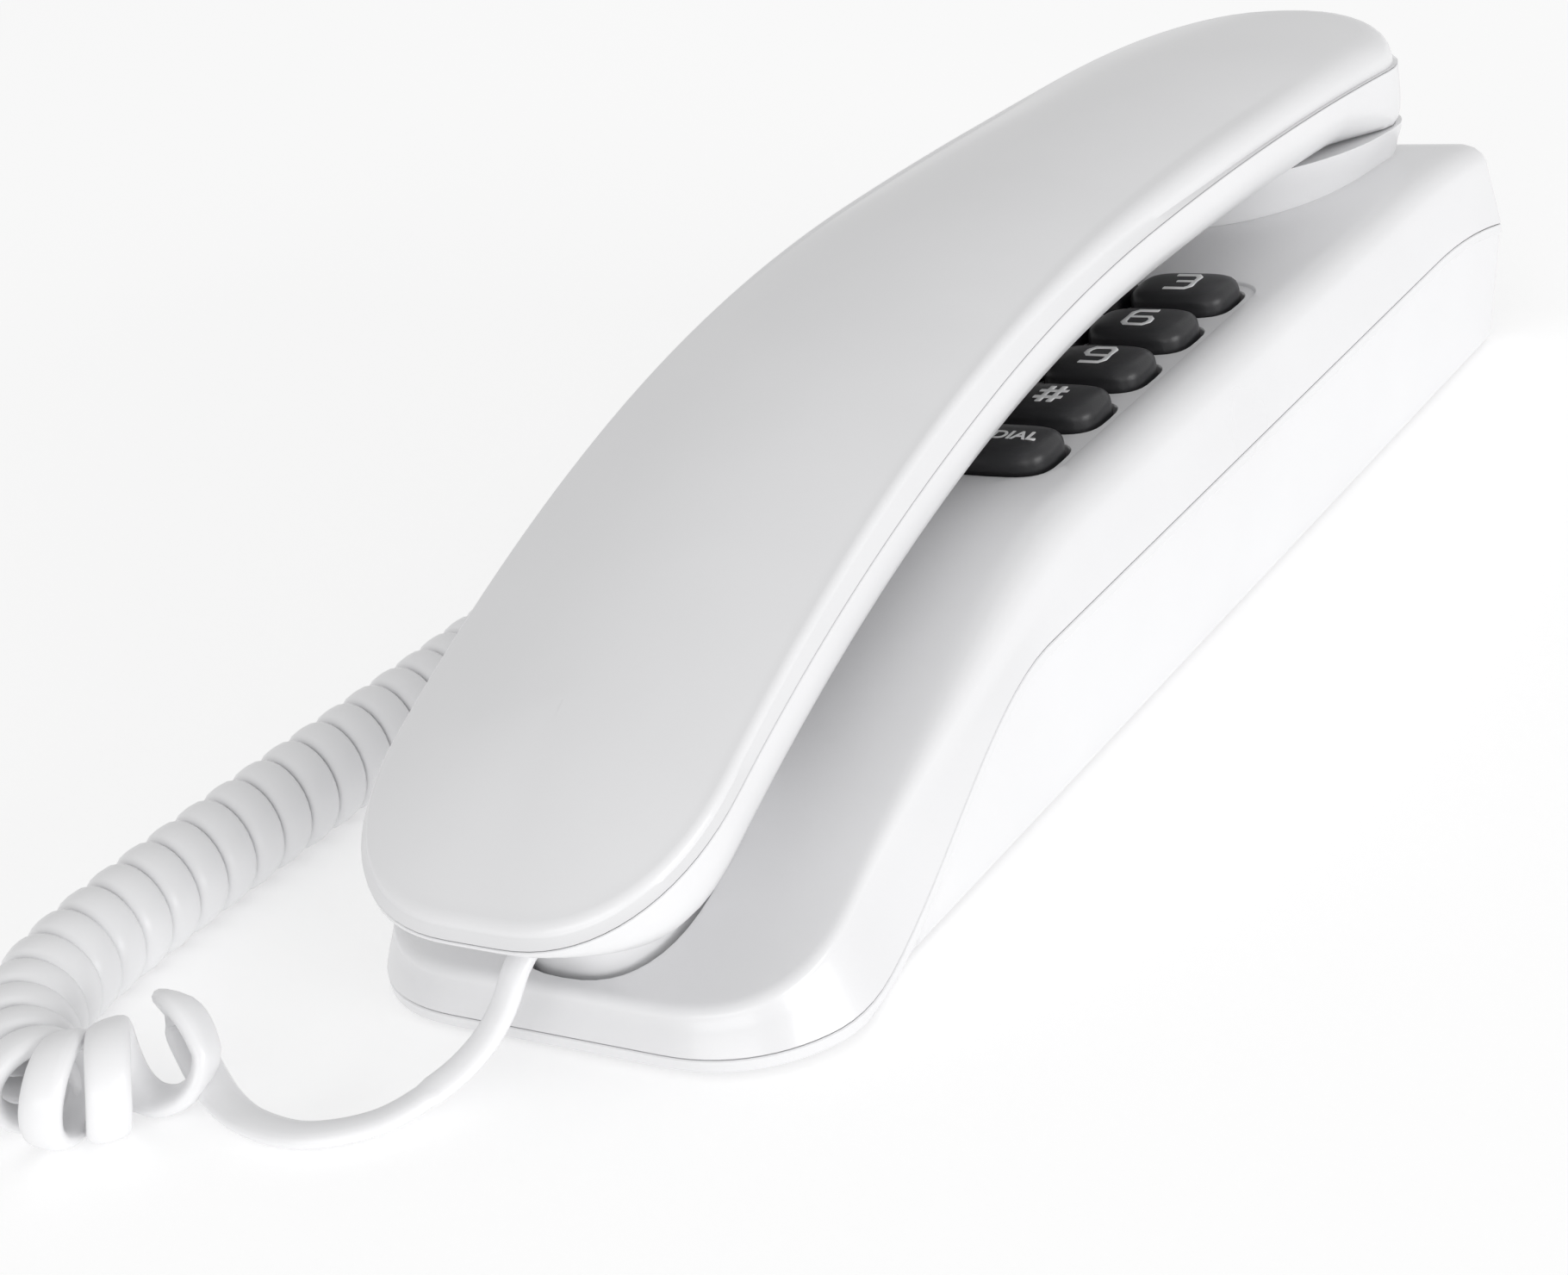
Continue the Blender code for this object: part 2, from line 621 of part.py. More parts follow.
def make_handset_lower_shell():
    rings = [lower_shell_ring(y, 0, -SEAM_GAP / 2) for y in handset_places(0)]
    shell = loft("handset_lower_shell", rings, white_plastic(), 35)
    places = stations(Y_MIC - 0.004, Y_FAR + 0.004, MIC_END_ROUND, EAR_END_ROUND, 0.0085)
    edge = [(y, handset_rim(y) - HANDSET_SIDE - 0.0012) for y in places]
    outline = [(edge[0][0], 0.08)] + edge + [(edge[-1][0], 0.08)]
    above = side_prism("above_cups", outline, HANDSET_WIDTH)
    ear_cup = prism("ear_cup", ear_outline(0, EAR_CUP_FAR), EAR_CUP_BOTTOM, 0.07)
    ear_end = prism("ear_end", rounded_rectangle((0, Y_FAR - 0.0080), EAR_CUP_HALF_WIDTH, 0.0077, 0.006),
                    END_WALL_HEIGHT + 0.0008, 0.071)
    mic_cup = prism("mic_cup", mic_outline(0), MIC_CUP_BOTTOM, 0.07)
    for cup in (ear_cup, ear_end, mic_cup):
        boolean(cup, above)
    boolean(shell, [ear_cup, ear_end, mic_cup], "UNION")
    cavity = loft("handset_low_cavity", [lower_shell_ring(y, WALL, 0.004) for y in handset_places(WALL)])
    seats = [(circle(place, 0.0048, 14), 0.0, 0.08) for place in handset_screw_places()]
    boolean(cavity, joined("handset_screw_seats", seats))
    ear_room = prism("ear_room", ear_outline(-WALL, EAR_CUP_FAR - WALL), EAR_CUP_BOTTOM + WALL, 0.07)
    mic_room = prism("mic_room", mic_outline(-WALL), MIC_CUP_BOTTOM + WALL, 0.071)
    boolean(shell, [cavity, ear_room, mic_room])
    holes = [(circle((0, EAR_HOLES_Y), 0.0009, 8), 0.0, EAR_CUP_BOTTOM + 0.004)]
    for k in range(6):
        angle = math.pi / 3 * k
        place = (0.005 * math.cos(angle), EAR_HOLES_Y + 0.005 * math.sin(angle))
        holes.append((circle(place, 0.0009, 8), 0.0, EAR_CUP_BOTTOM + 0.004))
    holes += [(circle((x, MIC_HOLE_Y), 0.0007, 8), 0.0, MIC_CUP_BOTTOM + 0.004) for x in (-0.002, 0, 0.002)]
    bores, heads = [], []
    for place in handset_screw_places():
        seam = handset_rim(place[1]) - HANDSET_SIDE
        bores.append((circle(place, SCREW_RADIUS + GAP, 12), 0.0, 0.08))
        heads.append((circle(place, SCREW_HEAD_RADIUS + GAP, 14), -0.001, seam - 0.0035))
    channel_low = (-PLUG_WIDTH / 2 - GAP, Y_MIC + 0.003, PLUG_Z - PLUG_HEIGHT / 2 - GAP)
    channel_high = (PLUG_WIDTH / 2 + GAP, JACK_FRONT_Y + 0.0005, PLUG_Z + PLUG_HEIGHT / 2 + GAP)
    channel = box("plug_channel", channel_low, channel_high)
    boolean(shell, [joined("sound_holes", holes), joined("handset_low_bores", bores),
                    joined("handset_head_seats", heads), channel])
    return shell


EAR_HOLES_Y = Y_FAR - 0.0235
MIC_BACK_Y = MIC_CUP_Y + MIC_CUP_HALF_LENGTH - WALL
MIC_HOLE_Y = MIC_BACK_Y - MIC_RADIUS - 0.0013
JACK_FRONT_Y = MIC_CUP_Y - MIC_CUP_HALF_LENGTH + WALL + 0.0017
PLUG_Z = 0.0132


def make_key(name, place):
    """A hollow key cap with a flange that stops it under the shell."""
    top = PLATEAU_HEIGHT + KEY_PROUD
    flange_top = SHELL_UNDER - KEY_FLANGE_GAP
    flange_bottom = flange_top - KEY_FLANGE_THICKNESS
    half_x, half_y = KEY_WIDTH / 2, KEY_DEPTH / 2
    levels = [
        (-KEY_WALL, top - 0.0016),
        (-KEY_WALL, flange_bottom),
        (KEY_FLANGE, flange_bottom),
        (KEY_FLANGE, flange_top),
        (0.0, flange_top),
        (0.0, top - 0.0008),
        (-0.0010, top),
    ]
    rings = []
    for grow, z in levels:
        outline = superellipse(place, half_x + grow, half_y + grow, 3.2, KEY_SIDES)
        rings.append([(x, y, z) for x, y in outline])
    return loft("key_" + name, rings, dark_plastic(), 40)


def make_keypad():
    for name, place in key_places():
        make_key(name, place)
    mat = prism("keypad_mat", keypad_outline(-0.0008), MAT_TOP - MAT_THICKNESS, MAT_TOP, rubber())
    domes = []
    ceiling = PLATEAU_HEIGHT + KEY_PROUD - 0.0016
    for _, place in key_places():
        domes.append((circle(place, DOME_RADIUS, 8), MAT_TOP - MAT_THICKNESS / 2, ceiling - KEY_TRAVEL - 0.0005))
    boolean(mat, joined("mat_domes", domes), "UNION")
    low = (-BOARD_HALF[0], KEYPAD_MID_Y - BOARD_HALF[1], BOARD_TOP - BOARD_THICKNESS)
    high = (BOARD_HALF[0], KEYPAD_MID_Y + BOARD_HALF[1], BOARD_TOP)
    board = box("main_board", low, high, circuit_green())
    under = BOARD_TOP - BOARD_THICKNESS / 2
    chips = [
        (rounded_rectangle((0.006, KEYPAD_MID_Y), 0.006, 0.004, 0.0003, 1), under - 0.0034, under),
        (circle((-0.012, KEYPAD_MID_Y + 0.012), 0.0032, 14), under - 0.0078, under),
        (circle((-0.012, KEYPAD_MID_Y + 0.003), 0.0025, 14), under - 0.0065, under),
        (rounded_rectangle((0.010, KEYPAD_MID_Y + 0.020), 0.0055, 0.0030, 0.0003, 1), under - 0.0060, under),
    ]
    boolean(board, joined("board_parts", chips), "UNION")


def make_hook_switch():
    flange_top = EAR_POCKET_FLOOR - POCKET_WALL - GAP - HOOK_TRAVEL - 0.0003
    foot = 0.0140
    rise = EAR_CUP_BOTTOM - GAP
    levels = [(0.0012, foot), (0.0012, flange_top), (0.0, flange_top), (0.0, rise - 0.0006), (-0.0006, rise)]
    rings = []
    for grow, z in levels:
        outline = rounded_rectangle(HOOK_PLACE, HOOK_HALF[0] + grow, HOOK_HALF[1] + grow, 0.0009, 2)
        rings.append([(x, y, z) for x, y in outline])
    loft("hook_plunger", rings, white_plastic(), 30)
    low = (HOOK_PLACE[0] - 0.0060, HOOK_PLACE[1] - 0.0033, 0.0074 + GAP)
    high = (HOOK_PLACE[0] + 0.0060, HOOK_PLACE[1] + 0.0033, foot - GAP)
    box("hook_switch", low, high, black_plastic())


def make_jack(name, low, high, mouth_low, mouth_high, material):
    jack = box(name, low, high, material)
    boolean(jack, box(name + "_mouth", mouth_low, mouth_high))
    return jack


def make_sockets():
    half_w, half_h = PLUG_WIDTH / 2, PLUG_HEIGHT / 2
    inner_x = -BASE_WIDTH / 2 + UNDERCUT + WALL + 0.0008
    depth = PLUG_LENGTH - 0.0040
    low = (inner_x, BASE_JACK_Y - half_w - JACK_WALL, BASE_JACK_Z - half_h - JACK_WALL)
    high = (inner_x + depth + 0.0015, BASE_JACK_Y + half_w + JACK_WALL, BASE_JACK_Z + half_h + JACK_WALL)
    mouth_low = (inner_x - 0.01, BASE_JACK_Y - half_w - GAP, BASE_JACK_Z - half_h - GAP)
    mouth_high = (inner_x + depth + 0.0003, BASE_JACK_Y + half_w + GAP, BASE_JACK_Z + half_h + GAP)
    make_jack("base_cord_jack", low, high, mouth_low, mouth_high, black_plastic())
    plug_end = inner_x + depth
    box("base_plug", (plug_end - PLUG_LENGTH, BASE_JACK_Y - half_w, BASE_JACK_Z - half_h),
        (plug_end, BASE_JACK_Y + half_w, BASE_JACK_Z + half_h), clear_plastic())

    low = (-half_w - JACK_WALL, JACK_FRONT_Y + GAP, PLUG_Z - half_h - JACK_WALL)
    high = (half_w + JACK_WALL, JACK_FRONT_Y + 0.0095, PLUG_Z + half_h + JACK_WALL)
    mouth_low = (-half_w - GAP, JACK_FRONT_Y - 0.01, PLUG_Z - half_h - GAP)
    mouth_high = (half_w + GAP, JACK_FRONT_Y + 0.0083, PLUG_Z + half_h + GAP)
    make_jack("handset_cord_jack", low, high, mouth_low, mouth_high, black_plastic())
    plug_end = JACK_FRONT_Y + 0.0080
    box("handset_plug", (-half_w, plug_end - PLUG_LENGTH, PLUG_Z - half_h), (half_w, plug_end, PLUG_Z + half_h),
        clear_plastic())

    half_w, half_h = LINE_SOCKET_WIDTH / 2, LINE_SOCKET_HEIGHT / 2
    face = Y_FAR - WALL - GAP
    low = (LINE_JACK_X - half_w - 0.0017, face - LINE_SOCKET_DEPTH - 0.0025, LINE_JACK_Z - half_h - 0.0020)
    high = (LINE_JACK_X + half_w + 0.0017, face, LINE_JACK_Z + half_h + 0.0020)
    mouth_low = (LINE_JACK_X - half_w, face - LINE_SOCKET_DEPTH, LINE_JACK_Z - half_h)
    mouth_high = (LINE_JACK_X + half_w, face + 0.01, LINE_JACK_Z + half_h)
    make_jack("line_jack", low, high, mouth_low, mouth_high, black_plastic())


def make_slide_switches():
    for name, x in SWITCHES:
        body_low = (x - SLIDE_HALF[0] - 0.0012, Y_FAR - 0.0125, SWITCH_Z - 0.0030)
        body_high = (x + SLIDE_HALF[0] + SLIDE_TRAVEL + 0.0012, Y_FAR - 0.0065, SWITCH_Z + 0.0030)
        box(name + "_switch", body_low, body_high, black_plastic())
        shoe_y = Y_FAR - 0.0065 + GAP
        neck_y = Y_FAR - WALL - GAP
        levels = [(0.0008, shoe_y), (0.0008, neck_y - 0.0012), (0.0, neck_y - 0.0012), (0.0, Y_FAR - 0.0003)]
        rings = []
        for grow, y in levels:
            outline = rounded_rectangle((x, SWITCH_Z), SLIDE_HALF[0] + grow, SLIDE_HALF[1] + grow, 0.0004, 1)
            rings.append([(px, y, pz) for px, pz in outline])
        loft(name + "_slide", rings, dark_plastic(), 30)


def make_screw(name, place, head_z, pointing_up=True):
    """A pan-head screw under the casing with its point up."""
    top = head_z + 0.0015
    profile = [
        (SCREW_HEAD_RADIUS * 0.8, head_z),
        (SCREW_HEAD_RADIUS, head_z + 0.0006),
        (SCREW_HEAD_RADIUS, top),
        (SCREW_RADIUS, top),
        (SCREW_RADIUS, top + SCREW_LENGTH - 0.0012),
        (SCREW_RADIUS * 0.4, top + SCREW_LENGTH),
    ]
    turned(name, place, profile, 12, steel())


def make_fasteners_and_feet():
    for number, place in enumerate(base_screw_places(), 1):
        make_screw(f"base_screw_{number}", place, FLOOR_Z + 0.0006)
    for number, place in enumerate(foot_places(), 1):
        profile = [(FOOT_RADIUS - 0.0004, 0.0), (FOOT_RADIUS, 0.0004), (FOOT_RADIUS, FLOOR_Z + 0.0009)]
        turned(f"foot_{number}", place, profile, 20, rubber())
    for number, place in enumerate(handset_screw_places(), 1):
        seam = handset_rim(place[1]) - HANDSET_SIDE
        make_screw(f"handset_screw_{number}", place, seam - 0.0035 - GAP - 0.0015)


def make_sound_parts():
    floor = EAR_CUP_BOTTOM + WALL + GAP
    place = (0, EAR_HOLES_Y)
    ring = [(SPEAKER_RADIUS, floor), (SPEAKER_RADIUS, floor + 0.0010), (0.0090, floor + 0.0010), (0.0090, floor)]
    gasket = turned("earpiece_gasket", place, ring[:2], 24, rubber())
    boolean(gasket, prism("gasket_hole", circle(place, 0.0090, 20), floor - 0.001, floor + 0.002))
    base = floor + 0.0010 + GAP
    profile = [(SPEAKER_RADIUS - 0.0008, base), (SPEAKER_RADIUS, base + 0.0006), (SPEAKER_RADIUS, base + 0.0030),
               (0.0085, base + 0.0040), (0.0065, base + 0.0040), (0.0065, base + 0.0062)]
    turned("earpiece_speaker", place, profile, 24, steel())
    floor = MIC_CUP_BOTTOM + WALL + GAP
    place = (0, MIC_HOLE_Y)
    turned("microphone_capsule", place, [(MIC_RADIUS, floor), (MIC_RADIUS, floor + 0.0062)], 18, steel())
    low = (0.0, 0.0, FLOOR_TOP + GAP)
    turned("ringer_buzzer", (low[0], KEYPAD_MID_Y - 0.020), [(0.0110, low[2]), (0.0110, low[2] + 0.0030),
           (0.0040, low[2] + 0.0034)], 24, brass())
    front = Y_FAR - PEAK_FROM_EAR_END - 0.034
    bottom = HANDSET_PEAK - GRIP_DEPTH + WALL + 0.00085
    box("handset_weight", (-0.0110, front, bottom), (0.0110, front + 0.046, bottom + 0.0035), steel())


def smooth_route(points, step, fewest=1):
    """Points about one step apart on a smooth curve through the given ones."""
    points = [Vector(point) for point in points]
    padded = [points[0] * 2 - points[1]] + points + [points[-1] * 2 - points[-2]]
    route = []
    for a, b, c, d in zip(padded, padded[1:], padded[2:], padded[3:]):
        count = max(fewest, round((c - b).length / step))
        for k in range(count):
            t = k / count
            curve = (2 * b + (c - a) * t + (2 * a - 5 * b + 4 * c - d) * t * t + (3 * b - a - 3 * c + d) * t ** 3) / 2
            route.append(curve)
    return route + [points[-1]]


def tube(name, route, radius, resolution, material):
    curve = bpy.data.curves.new(name, "CURVE")
    curve.dimensions = "3D"
    curve.bevel_depth = radius
    curve.bevel_resolution = resolution
    curve.use_fill_caps = True
    spline = curve.splines.new("POLY")
    spline.points.add(len(route) - 1)
    for point, place in zip(spline.points, route):
        point.co = (*place, 1.0)
    thing = bpy.data.objects.new(name, curve)
    bpy.context.scene.collection.objects.link(thing)
    curve.materials.append(material)
    return thing


# The cord lies on the table: its lead from the handset, the coil beside the base, and its tail to the base.
LEAD_ROUTE = [
    (0.0000, -0.0906, 0.0132), (0.0000, -0.0935, 0.0132), (-0.0003, -0.0968, 0.0116), (-0.0012, -0.0992, 0.0082), (-0.0028, -0.1020, 0.0052),
    (-0.0052, -0.1066, 0.0030), (-0.0090, -0.1120, 0.0025), (-0.0150, -0.1153, 0.0025), (-0.0215, -0.1154, 0.0026),
    (-0.0270, -0.1132, 0.0033), (-0.0316, -0.1106, 0.0050), (-0.0344, -0.1116, 0.0062),
]
COIL_ROUTE = [
    (-0.0348, -0.1145, 0.0062), (-0.0366, -0.1190, 0.0062), (-0.0408, -0.1228, 0.0062), (-0.0470, -0.1232, 0.0062),
    (-0.0530, -0.1184, 0.0062), (-0.0570, -0.1090, 0.0062), (-0.0585, -0.0980, 0.0062), (-0.0586, -0.0800, 0.0062),
    (-0.0582, -0.0600, 0.0062), (-0.0578, -0.0380, 0.0062), (-0.0576, 0.0000, 0.0062), (-0.0575, 0.0300, 0.0062),
    (-0.0568, 0.0500, 0.0062),
]
TAIL_ROUTE = [
    (-0.0560, 0.0531, 0.0060), (-0.0548, 0.0590, 0.0045), (-0.0520, 0.0655, 0.0036), (-0.0470, 0.0700, 0.0050),
    (-0.0420, 0.0718, 0.0080), (-0.0365, 0.0720, 0.0100), (-0.0306, 0.0720, 0.0100),
]


def make_cord():
    tube("cord_lead", smooth_route(LEAD_ROUTE, 0.0035), CORD_WIDTH / 2, 2, cord_plastic())
    tube("cord_coil", smooth_route(COIL_ROUTE, 0.0140, 2), COIL_RADIUS, 2, cord_plastic())
    tube("cord_tail", smooth_route(TAIL_ROUTE, 0.0045), CORD_WIDTH / 2, 2, cord_plastic())


clear_scene()
make_base_upper_shell()
make_base_lower_shell()
make_handset_top_shell()
make_handset_lower_shell()
make_keypad()
make_hook_switch()
make_sockets()
make_slide_switches()
make_fasteners_and_feet()
make_sound_parts()
make_cord()
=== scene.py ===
import json
import math
import bmesh
import bpy
from mathutils import Matrix, Vector


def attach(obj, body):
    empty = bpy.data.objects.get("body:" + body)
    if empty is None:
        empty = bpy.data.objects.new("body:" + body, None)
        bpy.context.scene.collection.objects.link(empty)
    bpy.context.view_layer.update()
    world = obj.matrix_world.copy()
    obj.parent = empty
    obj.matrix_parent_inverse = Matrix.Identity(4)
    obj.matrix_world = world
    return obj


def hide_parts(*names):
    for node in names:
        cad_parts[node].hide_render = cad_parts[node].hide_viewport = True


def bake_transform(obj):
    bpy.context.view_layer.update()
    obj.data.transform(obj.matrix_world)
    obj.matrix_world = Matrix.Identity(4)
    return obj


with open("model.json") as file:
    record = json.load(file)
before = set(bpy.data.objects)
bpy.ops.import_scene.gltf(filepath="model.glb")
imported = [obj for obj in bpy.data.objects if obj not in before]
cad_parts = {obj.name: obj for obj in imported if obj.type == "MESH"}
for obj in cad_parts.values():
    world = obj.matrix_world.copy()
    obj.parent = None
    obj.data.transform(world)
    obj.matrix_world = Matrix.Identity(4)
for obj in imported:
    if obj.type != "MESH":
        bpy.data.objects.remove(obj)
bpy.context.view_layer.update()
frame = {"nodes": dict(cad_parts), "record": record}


def say(text):
    print("phone:", text)


# camera, looking down the phone from its right front corner
view = {
    "place": (0.1813, -0.2849, 0.1590),
    "azimuth": 36.92,
    "elevation": 24.54,
    "roll": -11.73,
    "lens": 69.63,
}


def placeCamera():
    a, e, r = (math.radians(view[k]) for k in ("azimuth", "elevation", "roll"))
    back = Vector((math.sin(a) * math.cos(e), -math.cos(a) * math.cos(e), math.sin(e)))
    side = Vector((math.cos(a), math.sin(a), 0))
    up = back.cross(side)
    turnedSide = side * math.cos(r) + up * math.sin(r)
    turnedUp = up * math.cos(r) - side * math.sin(r)
    data = bpy.data.cameras.new("viewCamera")
    data.sensor_width = 36
    data.lens = view["lens"]
    data.clip_start = 0.01
    camera = bpy.data.objects.new("viewCamera", data)
    bpy.context.scene.collection.objects.link(camera)
    grid = Matrix((turnedSide, turnedUp, back)).transposed().to_4x4()
    grid.translation = Vector(view["place"])
    camera.matrix_world = grid
    bpy.context.scene.camera = camera


placeCamera()
say("camera placed")


# finishes: colour, roughness, scale and depth of the mould's grain, and a clear coat
finish = {
    "whitePlastic": {"color": (0.80, 0.80, 0.81), "rough": 0.30, "grain": 2600, "bump": 0.05, "coat": 0.25},
    "keyPlastic": {"color": (0.022, 0.022, 0.024), "rough": 0.40, "grain": 4200, "bump": 0.12, "coat": 0.05},
    "blackPlastic": {"color": (0.018, 0.018, 0.020), "rough": 0.45, "grain": 3000, "bump": 0.10, "coat": 0.0},
    "cordPlastic": {"color": (0.87, 0.87, 0.88), "rough": 0.36, "grain": 1800, "bump": 0.05, "coat": 0.10},
    "softRubber": {"color": (0.09, 0.09, 0.09), "rough": 0.75, "grain": 2500, "bump": 0.15, "coat": 0.0},
    "boardGreen": {"color": (0.02, 0.16, 0.06), "rough": 0.40, "grain": 1400, "bump": 0.10, "coat": 0.2},
    "plug": {"color": (0.80, 0.82, 0.84), "rough": 0.12, "grain": 900, "bump": 0.02, "coat": 0.0},
    "legend": {"color": (0.86, 0.86, 0.86), "rough": 0.50, "grain": 5000, "bump": 0.05, "coat": 0.0},
    "zinc": {"color": (0.60, 0.60, 0.62), "rough": 0.32, "grain": 1500, "bump": 0.08, "coat": 0.0},
    "brass": {"color": (0.75, 0.56, 0.24), "rough": 0.30, "grain": 1500, "bump": 0.08, "coat": 0.0},
}


grain = {
    "cloudScale": 38, "cloudDetail": 3, "fineDetail": 2, "darker": 0.965, "toneFrom": 0.3, "toneTo": 0.7,
    "noiseFrom": 0.25, "noiseTo": 0.75, "roughSwing": 0.035, "bumpHeight": 0.00012, "coatRough": 0.12,
    "clearness": 0.6, "metals": ("zinc", "brass"),
}


def makeFinish(name):
    values = finish[name]
    made = bpy.data.materials.new(name)
    made.use_nodes = True
    nodes, links = made.node_tree.nodes, made.node_tree.links
    shader = nodes["Principled BSDF"]
    shader.inputs["Coat Weight"].default_value = values["coat"]
    shader.inputs["Coat Roughness"].default_value = grain["coatRough"]
    shader.inputs["Metallic"].default_value = 1.0 if name in grain["metals"] else 0.0
    if name == "plug":
        shader.inputs["Transmission Weight"].default_value = grain["clearness"]
    place = nodes.new("ShaderNodeTexCoord")
    cloudy = nodes.new("ShaderNodeTexNoise")  # slow drift of tone, as in a moulding
    cloudy.inputs["Scale"].default_value = grain["cloudScale"]
    cloudy.inputs["Detail"].default_value = grain["cloudDetail"]
    tone = nodes.new("ShaderNodeValToRGB")
    dark = [c * grain["darker"] for c in values["color"]]
    tone.color_ramp.elements[0].position = grain["toneFrom"]
    tone.color_ramp.elements[0].color = (*dark, 1)
    tone.color_ramp.elements[1].position = grain["toneTo"]
    tone.color_ramp.elements[1].color = (*values["color"], 1)
    fine = nodes.new("ShaderNodeTexNoise")  # fine texture of the mould
    fine.inputs["Scale"].default_value = values["grain"]
    fine.inputs["Detail"].default_value = grain["fineDetail"]
    gloss = nodes.new("ShaderNodeMapRange")
    gloss.inputs["From Min"].default_value = grain["noiseFrom"]
    gloss.inputs["From Max"].default_value = grain["noiseTo"]
    gloss.inputs["To Min"].default_value = values["rough"] - grain["roughSwing"]
    gloss.inputs["To Max"].default_value = values["rough"] + grain["roughSwing"]
    bump = nodes.new("ShaderNodeBump")
    bump.inputs["Strength"].default_value = values["bump"]
    bump.inputs["Distance"].default_value = grain["bumpHeight"]
    links.new(place.outputs["Object"], cloudy.inputs["Vector"])
    links.new(place.outputs["Object"], fine.inputs["Vector"])
    links.new(cloudy.outputs["Fac"], tone.inputs["Fac"])
    links.new(tone.outputs["Color"], shader.inputs["Base Color"])
    links.new(cloudy.outputs["Fac"], gloss.inputs["Value"])
    links.new(gloss.outputs["Result"], shader.inputs["Roughness"])
    links.new(fine.outputs["Fac"], bump.inputs["Height"])
    links.new(bump.outputs["Normal"], shader.inputs["Normal"])
    return made


finishes = {name: makeFinish(name) for name in finish}
say("finishes made")


def paint(piece, name):
    piece.data.materials.clear()
    piece.data.materials.append(finishes[name])


def clearSelection():
    for thing in bpy.context.selected_objects:
        thing.select_set(False)


def makeActive(piece):
    clearSelection()
    piece.select_set(True)
    bpy.context.view_layer.objects.active = piece


def settle(piece):
    makeActive(piece)
    bpy.ops.object.transform_apply(location=True, rotation=True, scale=True)


# circle grown ring by ring, each ring put in its place
def growRings(name, rings, flatCaps=False):
    count = len(rings[0])
    clearSelection()
    bpy.ops.mesh.primitive_circle_add(vertices=count, radius=0.01)
    piece = bpy.context.active_object
    piece.name = piece.data.name = name
    bpy.ops.object.mode_set(mode="EDIT")
    bpy.ops.mesh.select_all(action="SELECT")
    work = bmesh.from_edit_mesh(piece.data)
    work.verts.ensure_lookup_table()
    ringIds = [list(range(count))]
    for i, point in enumerate(rings[0]):
        work.verts[i].co = point
    for ring in rings[1:]:
        bpy.ops.mesh.extrude_region_move()
        work = bmesh.from_edit_mesh(piece.data)
        work.verts.ensure_lookup_table()
        newIds = []
        for k, old in enumerate(ringIds[-1]):
            corner = work.verts[old]
            ends = [e.other_vert(corner) for e in corner.link_edges]
            grown = next(end for end in ends if end.select)
            grown.co = ring[k]
            newIds.append(grown.index)
        ringIds.append(newIds)
    work = bmesh.from_edit_mesh(piece.data)
    work.verts.ensure_lookup_table()
    for ids in (ringIds[0], ringIds[-1]):
        if flatCaps:
            work.faces.new([work.verts[j] for j in ids])
            continue
        for i in range(count // 2):
            corners = [ids[i], ids[i + 1], ids[(count - i - 1) % count], ids[(count - i) % count]]
            work.faces.new([work.verts[j] for j in dict.fromkeys(corners)])
    bmesh.update_edit_mesh(piece.data)
    bpy.ops.mesh.select_all(action="SELECT")
    bpy.ops.mesh.normals_make_consistent(inside=False)
    bpy.ops.object.mode_set(mode="OBJECT")
    return piece


def cut(piece, tools, operation="DIFFERENCE"):
    group = bpy.data.collections.new("tools")
    bpy.context.scene.collection.children.link(group)
    for tool in tools:
        for home in list(tool.users_collection):
            home.objects.unlink(tool)
        group.objects.link(tool)
    makeActive(piece)
    change = piece.modifiers.new("cut", "BOOLEAN")
    change.operation = operation
    change.solver = "EXACT"
    change.operand_type = "COLLECTION"
    change.collection = group
    bpy.ops.object.modifier_apply(modifier="cut")
    for tool in tools:
        bpy.data.objects.remove(tool, do_unlink=True)
    bpy.data.collections.remove(group)


def smoothOff(piece, angle=32):
    makeActive(piece)
    bpy.ops.object.shade_smooth_by_angle(angle=math.radians(angle))


